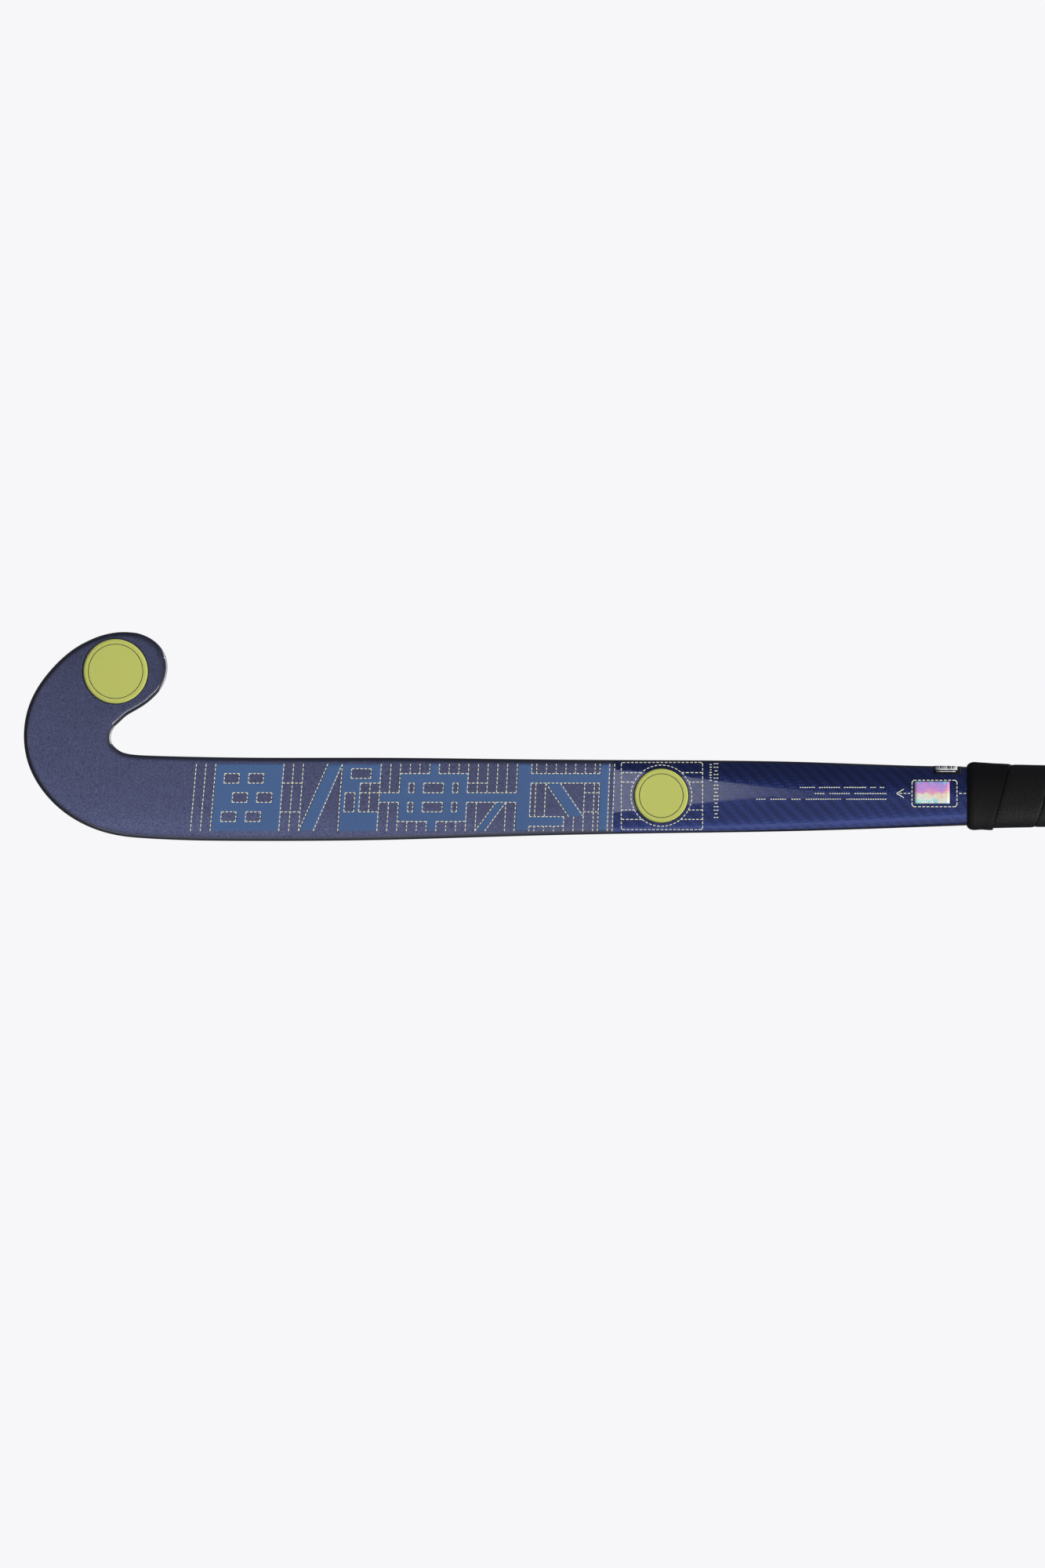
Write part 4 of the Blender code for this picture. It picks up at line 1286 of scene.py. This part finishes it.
class STICK_OT_stickers(bpy.types.Operator):
    """The foil inside the guide frame and the small label round the toe-side edge"""

    bl_idname = "stick.stickers"
    bl_label = "Stickers"

    def execute(self, context):
        self.lay_foil()
        self.lay_label()
        return {"FINISHED"}

    @staticmethod
    def lay_foil():
        """A rectangle of the playing side, x by height."""
        low, high, left, right = FOIL
        x, z = np.meshgrid(np.linspace(left, right, 17), np.linspace(low, high, 13), indexing="ij")
        points = on_face(x, z, 2 * MARK_LIFT)
        faces = [grid_faces(*x.shape)]
        put_sheet("foil_patch", points, faces, STICKER_THICK, foil_finish(), "foil", "foil_sticker")

    @staticmethod
    def lay_label():
        """Patches given by heights and distances round the skin: the black base, then white and bars."""
        low, high, start, end = LABEL
        black = grained("label black", (0.01, 0.01, 0.011), 0.3, size=0.001, contrast=0.03)
        white = grained("label white", (0.93, 0.94, 0.93), 0.35, size=0.001, contrast=0.02)
        grey = grained("label bars", (0.1, 0.1, 0.1), 0.35, size=0.001, contrast=0.03)
        base, face, bars = LABEL_LIFTS
        patches = [
            ("label_base", (low, high, start, end), base, black),
            ("label_face", (low + 1.1, high - 2.6, start + 1.5, end - 3.2), face, white),
            ("label_line", (low + 1.6, high - 3.6, end - 2.1, end - 1.6), face, white),
            ("label_border", (high - 0.9, high - 0.6, start + 1.5, end - 0.6), face, grey),
        ]
        for k, width in enumerate(LABEL_BARS):
            z = low + 2.4 + LABEL_BAR_STEP * k
            box = (z, z + width * 0.7, start + 3.0, end - 4.0)
            patches.append((f"label_bar_{k}", box, bars, grey))
        for name, (a, b, first, last), lift, material in patches:
            z, place = np.meshgrid(np.linspace(a, b, 5), np.linspace(first, last, 41), indexing="ij")
            share = place / np.interp(z, OUTLINE_Z, GIRTHS)
            points = on_handle(z, share, lift)
            faces = [grid_faces(*z.shape)]
            put_sheet(name, points, faces, STICKER_THICK, material, "label", "equipment_label")


class STICK_OT_inside(bpy.types.Operator):
    """Finishes of the parts that lie inside the shell and under the grip"""

    bl_idname = "stick.inside"
    bl_label = "Inside parts"

    def execute(self, context):
        foam = grained("core foam", (0.76, 0.7, 0.55), 0.85, size=0.0008, contrast=0.12, depth=0.0003)
        tube = woven_finish("tube carbon", (0.035, 0.035, 0.04), 0.0018, 0.4)
        rubber = grained("damping rubber", (0.35, 0.05, 0.05), 0.7, contrast=0.05, depth=0.0001)
        sleeve = grained("cushion sleeve", (0.3, 0.3, 0.32), 0.9, contrast=0.12, depth=0.0002)
        finishes = {
            "head_foam_core": foam,
            "handle_foam_plug": foam,
            "aramid_impact_plate": woven_finish("aramid weave", (0.72, 0.6, 0.2), 0.0015, 0.6),
            "toe_side_tube": tube,
            "heel_side_tube": tube,
            "damping_strip": rubber,
            "grip_underwrap": sleeve,
        }
        for name, material in finishes.items():
            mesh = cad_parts[name].data
            mesh.materials.clear()
            mesh.materials.append(material)
        return {"FINISHED"}


# Studio


class STICK_OT_stage(bpy.types.Operator):
    """Floor, soft lights, surroundings and the camera"""

    bl_idname = "stick.stage"
    bl_label = "Studio"

    def execute(self, context):
        self.lay_floor()
        self.surround(context.scene)
        # Name, azimuth, elevation, distance, width, height, radiance, seen in gloss
        lights = [
            ("long strip", 0.0, -3.7, 3.0, 0.30, 0.75, 1.0, True),
            ("short strip", 0.0, -4.2, 2.9, 0.29, 0.70, 2.0, True),
            ("heel panel", 36.0, 0.0, 2.4, 3.1, 2.6, 0.2, True),
            ("heel side panel", 80.0, 0.0, 2.6, 2.4, 2.6, 0.36, True),
            ("edge strip", 62.0, 42.0, 2.4, 0.13, 1.75, 26.0, True),
            ("low strip", 65.0, -14.0, 2.4, 0.10, 1.35, 8.0, True),
            ("high soft", -4.0, 52.0, 2.6, 2.4, 1.6, 6.6, False),
            ("toe fill", -58.0, 34.0, 2.6, 1.2, 1.2, 0.8, False),
            ("back soft", 180.0, 48.0, 2.6, 2.2, 1.6, 3.0, True),
        ]
        for row in lights:
            self.hang_light(*row)
        self.place_camera(context.scene)
        return {"FINISHED"}

    @staticmethod
    def lay_floor():
        """A level sheet just under the head, pale and matt, that fades out round the stick."""
        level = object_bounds()[0].z - FLOOR_DROP
        steps = np.linspace(-FLOOR_REACH, FLOOR_REACH, 9)
        x, y = np.meshgrid(steps, steps, indexing="ij")
        points = np.stack([x, y, np.full_like(x, level)], axis=-1)
        mesh = bpy.data.meshes.new("floor")
        mesh.from_pydata(points.reshape(-1, 3), [], grid_faces(*x.shape)[:, ::-1].tolist())
        mesh.update()
        floor = bpy.data.objects.new("floor", mesh)
        bpy.context.scene.collection.objects.link(floor)
        material, tree, shader, place = new_material("studio floor")
        seen = add(tree, "ShaderNodeLightPath").outputs["Is Camera Ray"]
        tree.links.new(mix_colours(tree, seen, FLOOR_LIT, FLOOR_SEEN), shader.inputs["Base Color"])
        flat = add(tree, "ShaderNodeVectorMath", {0: place, 1: (1.0, 1.0, 0.0)}, operation="MULTIPLY")
        radius = add(tree, "ShaderNodeVectorMath", {0: flat.outputs[0]}, operation="LENGTH")
        radius = radius.outputs["Value"]
        fade = map_range(tree, radius, *FLOOR_FADE, 1.0, 0.0, interpolation_type="SMOOTHSTEP")
        tree.links.new(fade, shader.inputs["Alpha"])
        set_shader(shader, Roughness=0.9, Specular_IOR_Level=0.1)
        mesh.materials.append(material)
        floor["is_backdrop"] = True

    @staticmethod
    def surround(scene):
        """Pale where it is seen, dim where it lights."""
        world = bpy.data.worlds.new("studio surroundings")
        scene.world = world
        world.use_nodes = True
        tree = world.node_tree
        seen = add(tree, "ShaderNodeLightPath").outputs["Is Camera Ray"]
        tone = mix_colours(tree, seen, SKY_LIT, SKY_SEEN)
        tree.links.new(tone, tree.nodes["Background"].inputs["Color"])
        scene.view_settings.view_transform = "Standard"
        scene.view_settings.look = "None"

    @staticmethod
    def hang_light(name, azimuth, elevation, distance, width, height, radiance, glossy):
        """An area light that faces the middle of the part in view."""
        a, e = math.radians(azimuth), math.radians(elevation)
        away = Vector((math.sin(a) * math.cos(e), -math.cos(a) * math.cos(e), math.sin(e)))
        data = bpy.data.lights.new(name, "AREA")
        data.shape, data.size, data.size_y = "RECTANGLE", width, height
        data.energy = radiance * math.pi * width * height
        lamp = bpy.data.objects.new(name, data)
        x, z = VIEW_CENTRE
        target = Vector(to_world(x, 0.0, z))
        lamp.location = target + away * distance
        lamp.rotation_mode = "QUATERNION"
        lamp.rotation_quaternion = away.to_track_quat("Z", "Y")
        lamp.visible_camera, lamp.visible_glossy = False, glossy
        lamp.visible_diffuse = width > STRIP_WIDTH
        bpy.context.scene.collection.objects.link(lamp)

    @staticmethod
    def place_camera(scene):
        """Square on to the playing side, turned so that the handle runs to the right."""
        data = bpy.data.cameras.new("camera")
        data.lens = data.sensor_width * CAMERA_DISTANCE / VIEW_HIGH
        data.clip_start, data.clip_end = 1.0, 100.0
        camera = bpy.data.objects.new("camera", data)
        x, z = VIEW_CENTRE
        place = Vector(to_world(x, -1000.0 * CAMERA_DISTANCE - REAR, z))
        turn = Matrix(((0, -1, 0), (0, 0, -1), (1, 0, 0))).to_4x4()
        camera.matrix_world = Matrix.Translation(place) @ turn
        scene.collection.objects.link(camera)
        scene.camera = camera


class STICK_PT_sidebar(bpy.types.Panel):
    """Lists the stick's pieces and settings"""

    bl_label = "Field hockey stick"
    bl_idname = "STICK_PT_sidebar"
    bl_space_type = "VIEW_3D"
    bl_region_type = "UI"
    bl_category = "Stick"

    def draw(self, context):
        column = self.layout.column(align=True)
        for operator in OPERATORS:
            column.operator(operator.bl_idname)
        for group in sizes_and_colours(context):
            box = self.layout.box()
            for name in group.__annotations__:
                box.prop(group, name)


OPERATORS = (
    STICK_OT_stage,
    STICK_OT_shell,
    STICK_OT_grip,
    STICK_OT_butt_cap,
    STICK_OT_pattern,
    STICK_OT_panel,
    STICK_OT_badges,
    STICK_OT_marks,
    STICK_OT_stickers,
    STICK_OT_inside,
)
CLASSES = (StickSizes, StickColours, *OPERATORS, STICK_PT_sidebar)


def register():
    for cls in CLASSES:
        bpy.utils.register_class(cls)
    bpy.types.Scene.stick_sizes = bpy.props.PointerProperty(type=StickSizes)
    bpy.types.Scene.stick_colours = bpy.props.PointerProperty(type=StickColours)


def unregister():
    del bpy.types.Scene.stick_colours
    del bpy.types.Scene.stick_sizes
    for cls in reversed(CLASSES):
        bpy.utils.unregister_class(cls)


def main():
    register()
    bpy.ops.stick.stage()
    bpy.ops.stick.shell()
    bpy.ops.stick.grip()
    bpy.ops.stick.butt_cap()
    bpy.ops.stick.pattern()
    bpy.ops.stick.panel()
    bpy.ops.stick.badges()
    bpy.ops.stick.marks()
    bpy.ops.stick.stickers()
    bpy.ops.stick.inside()


if __name__ == "__main__":
    main()
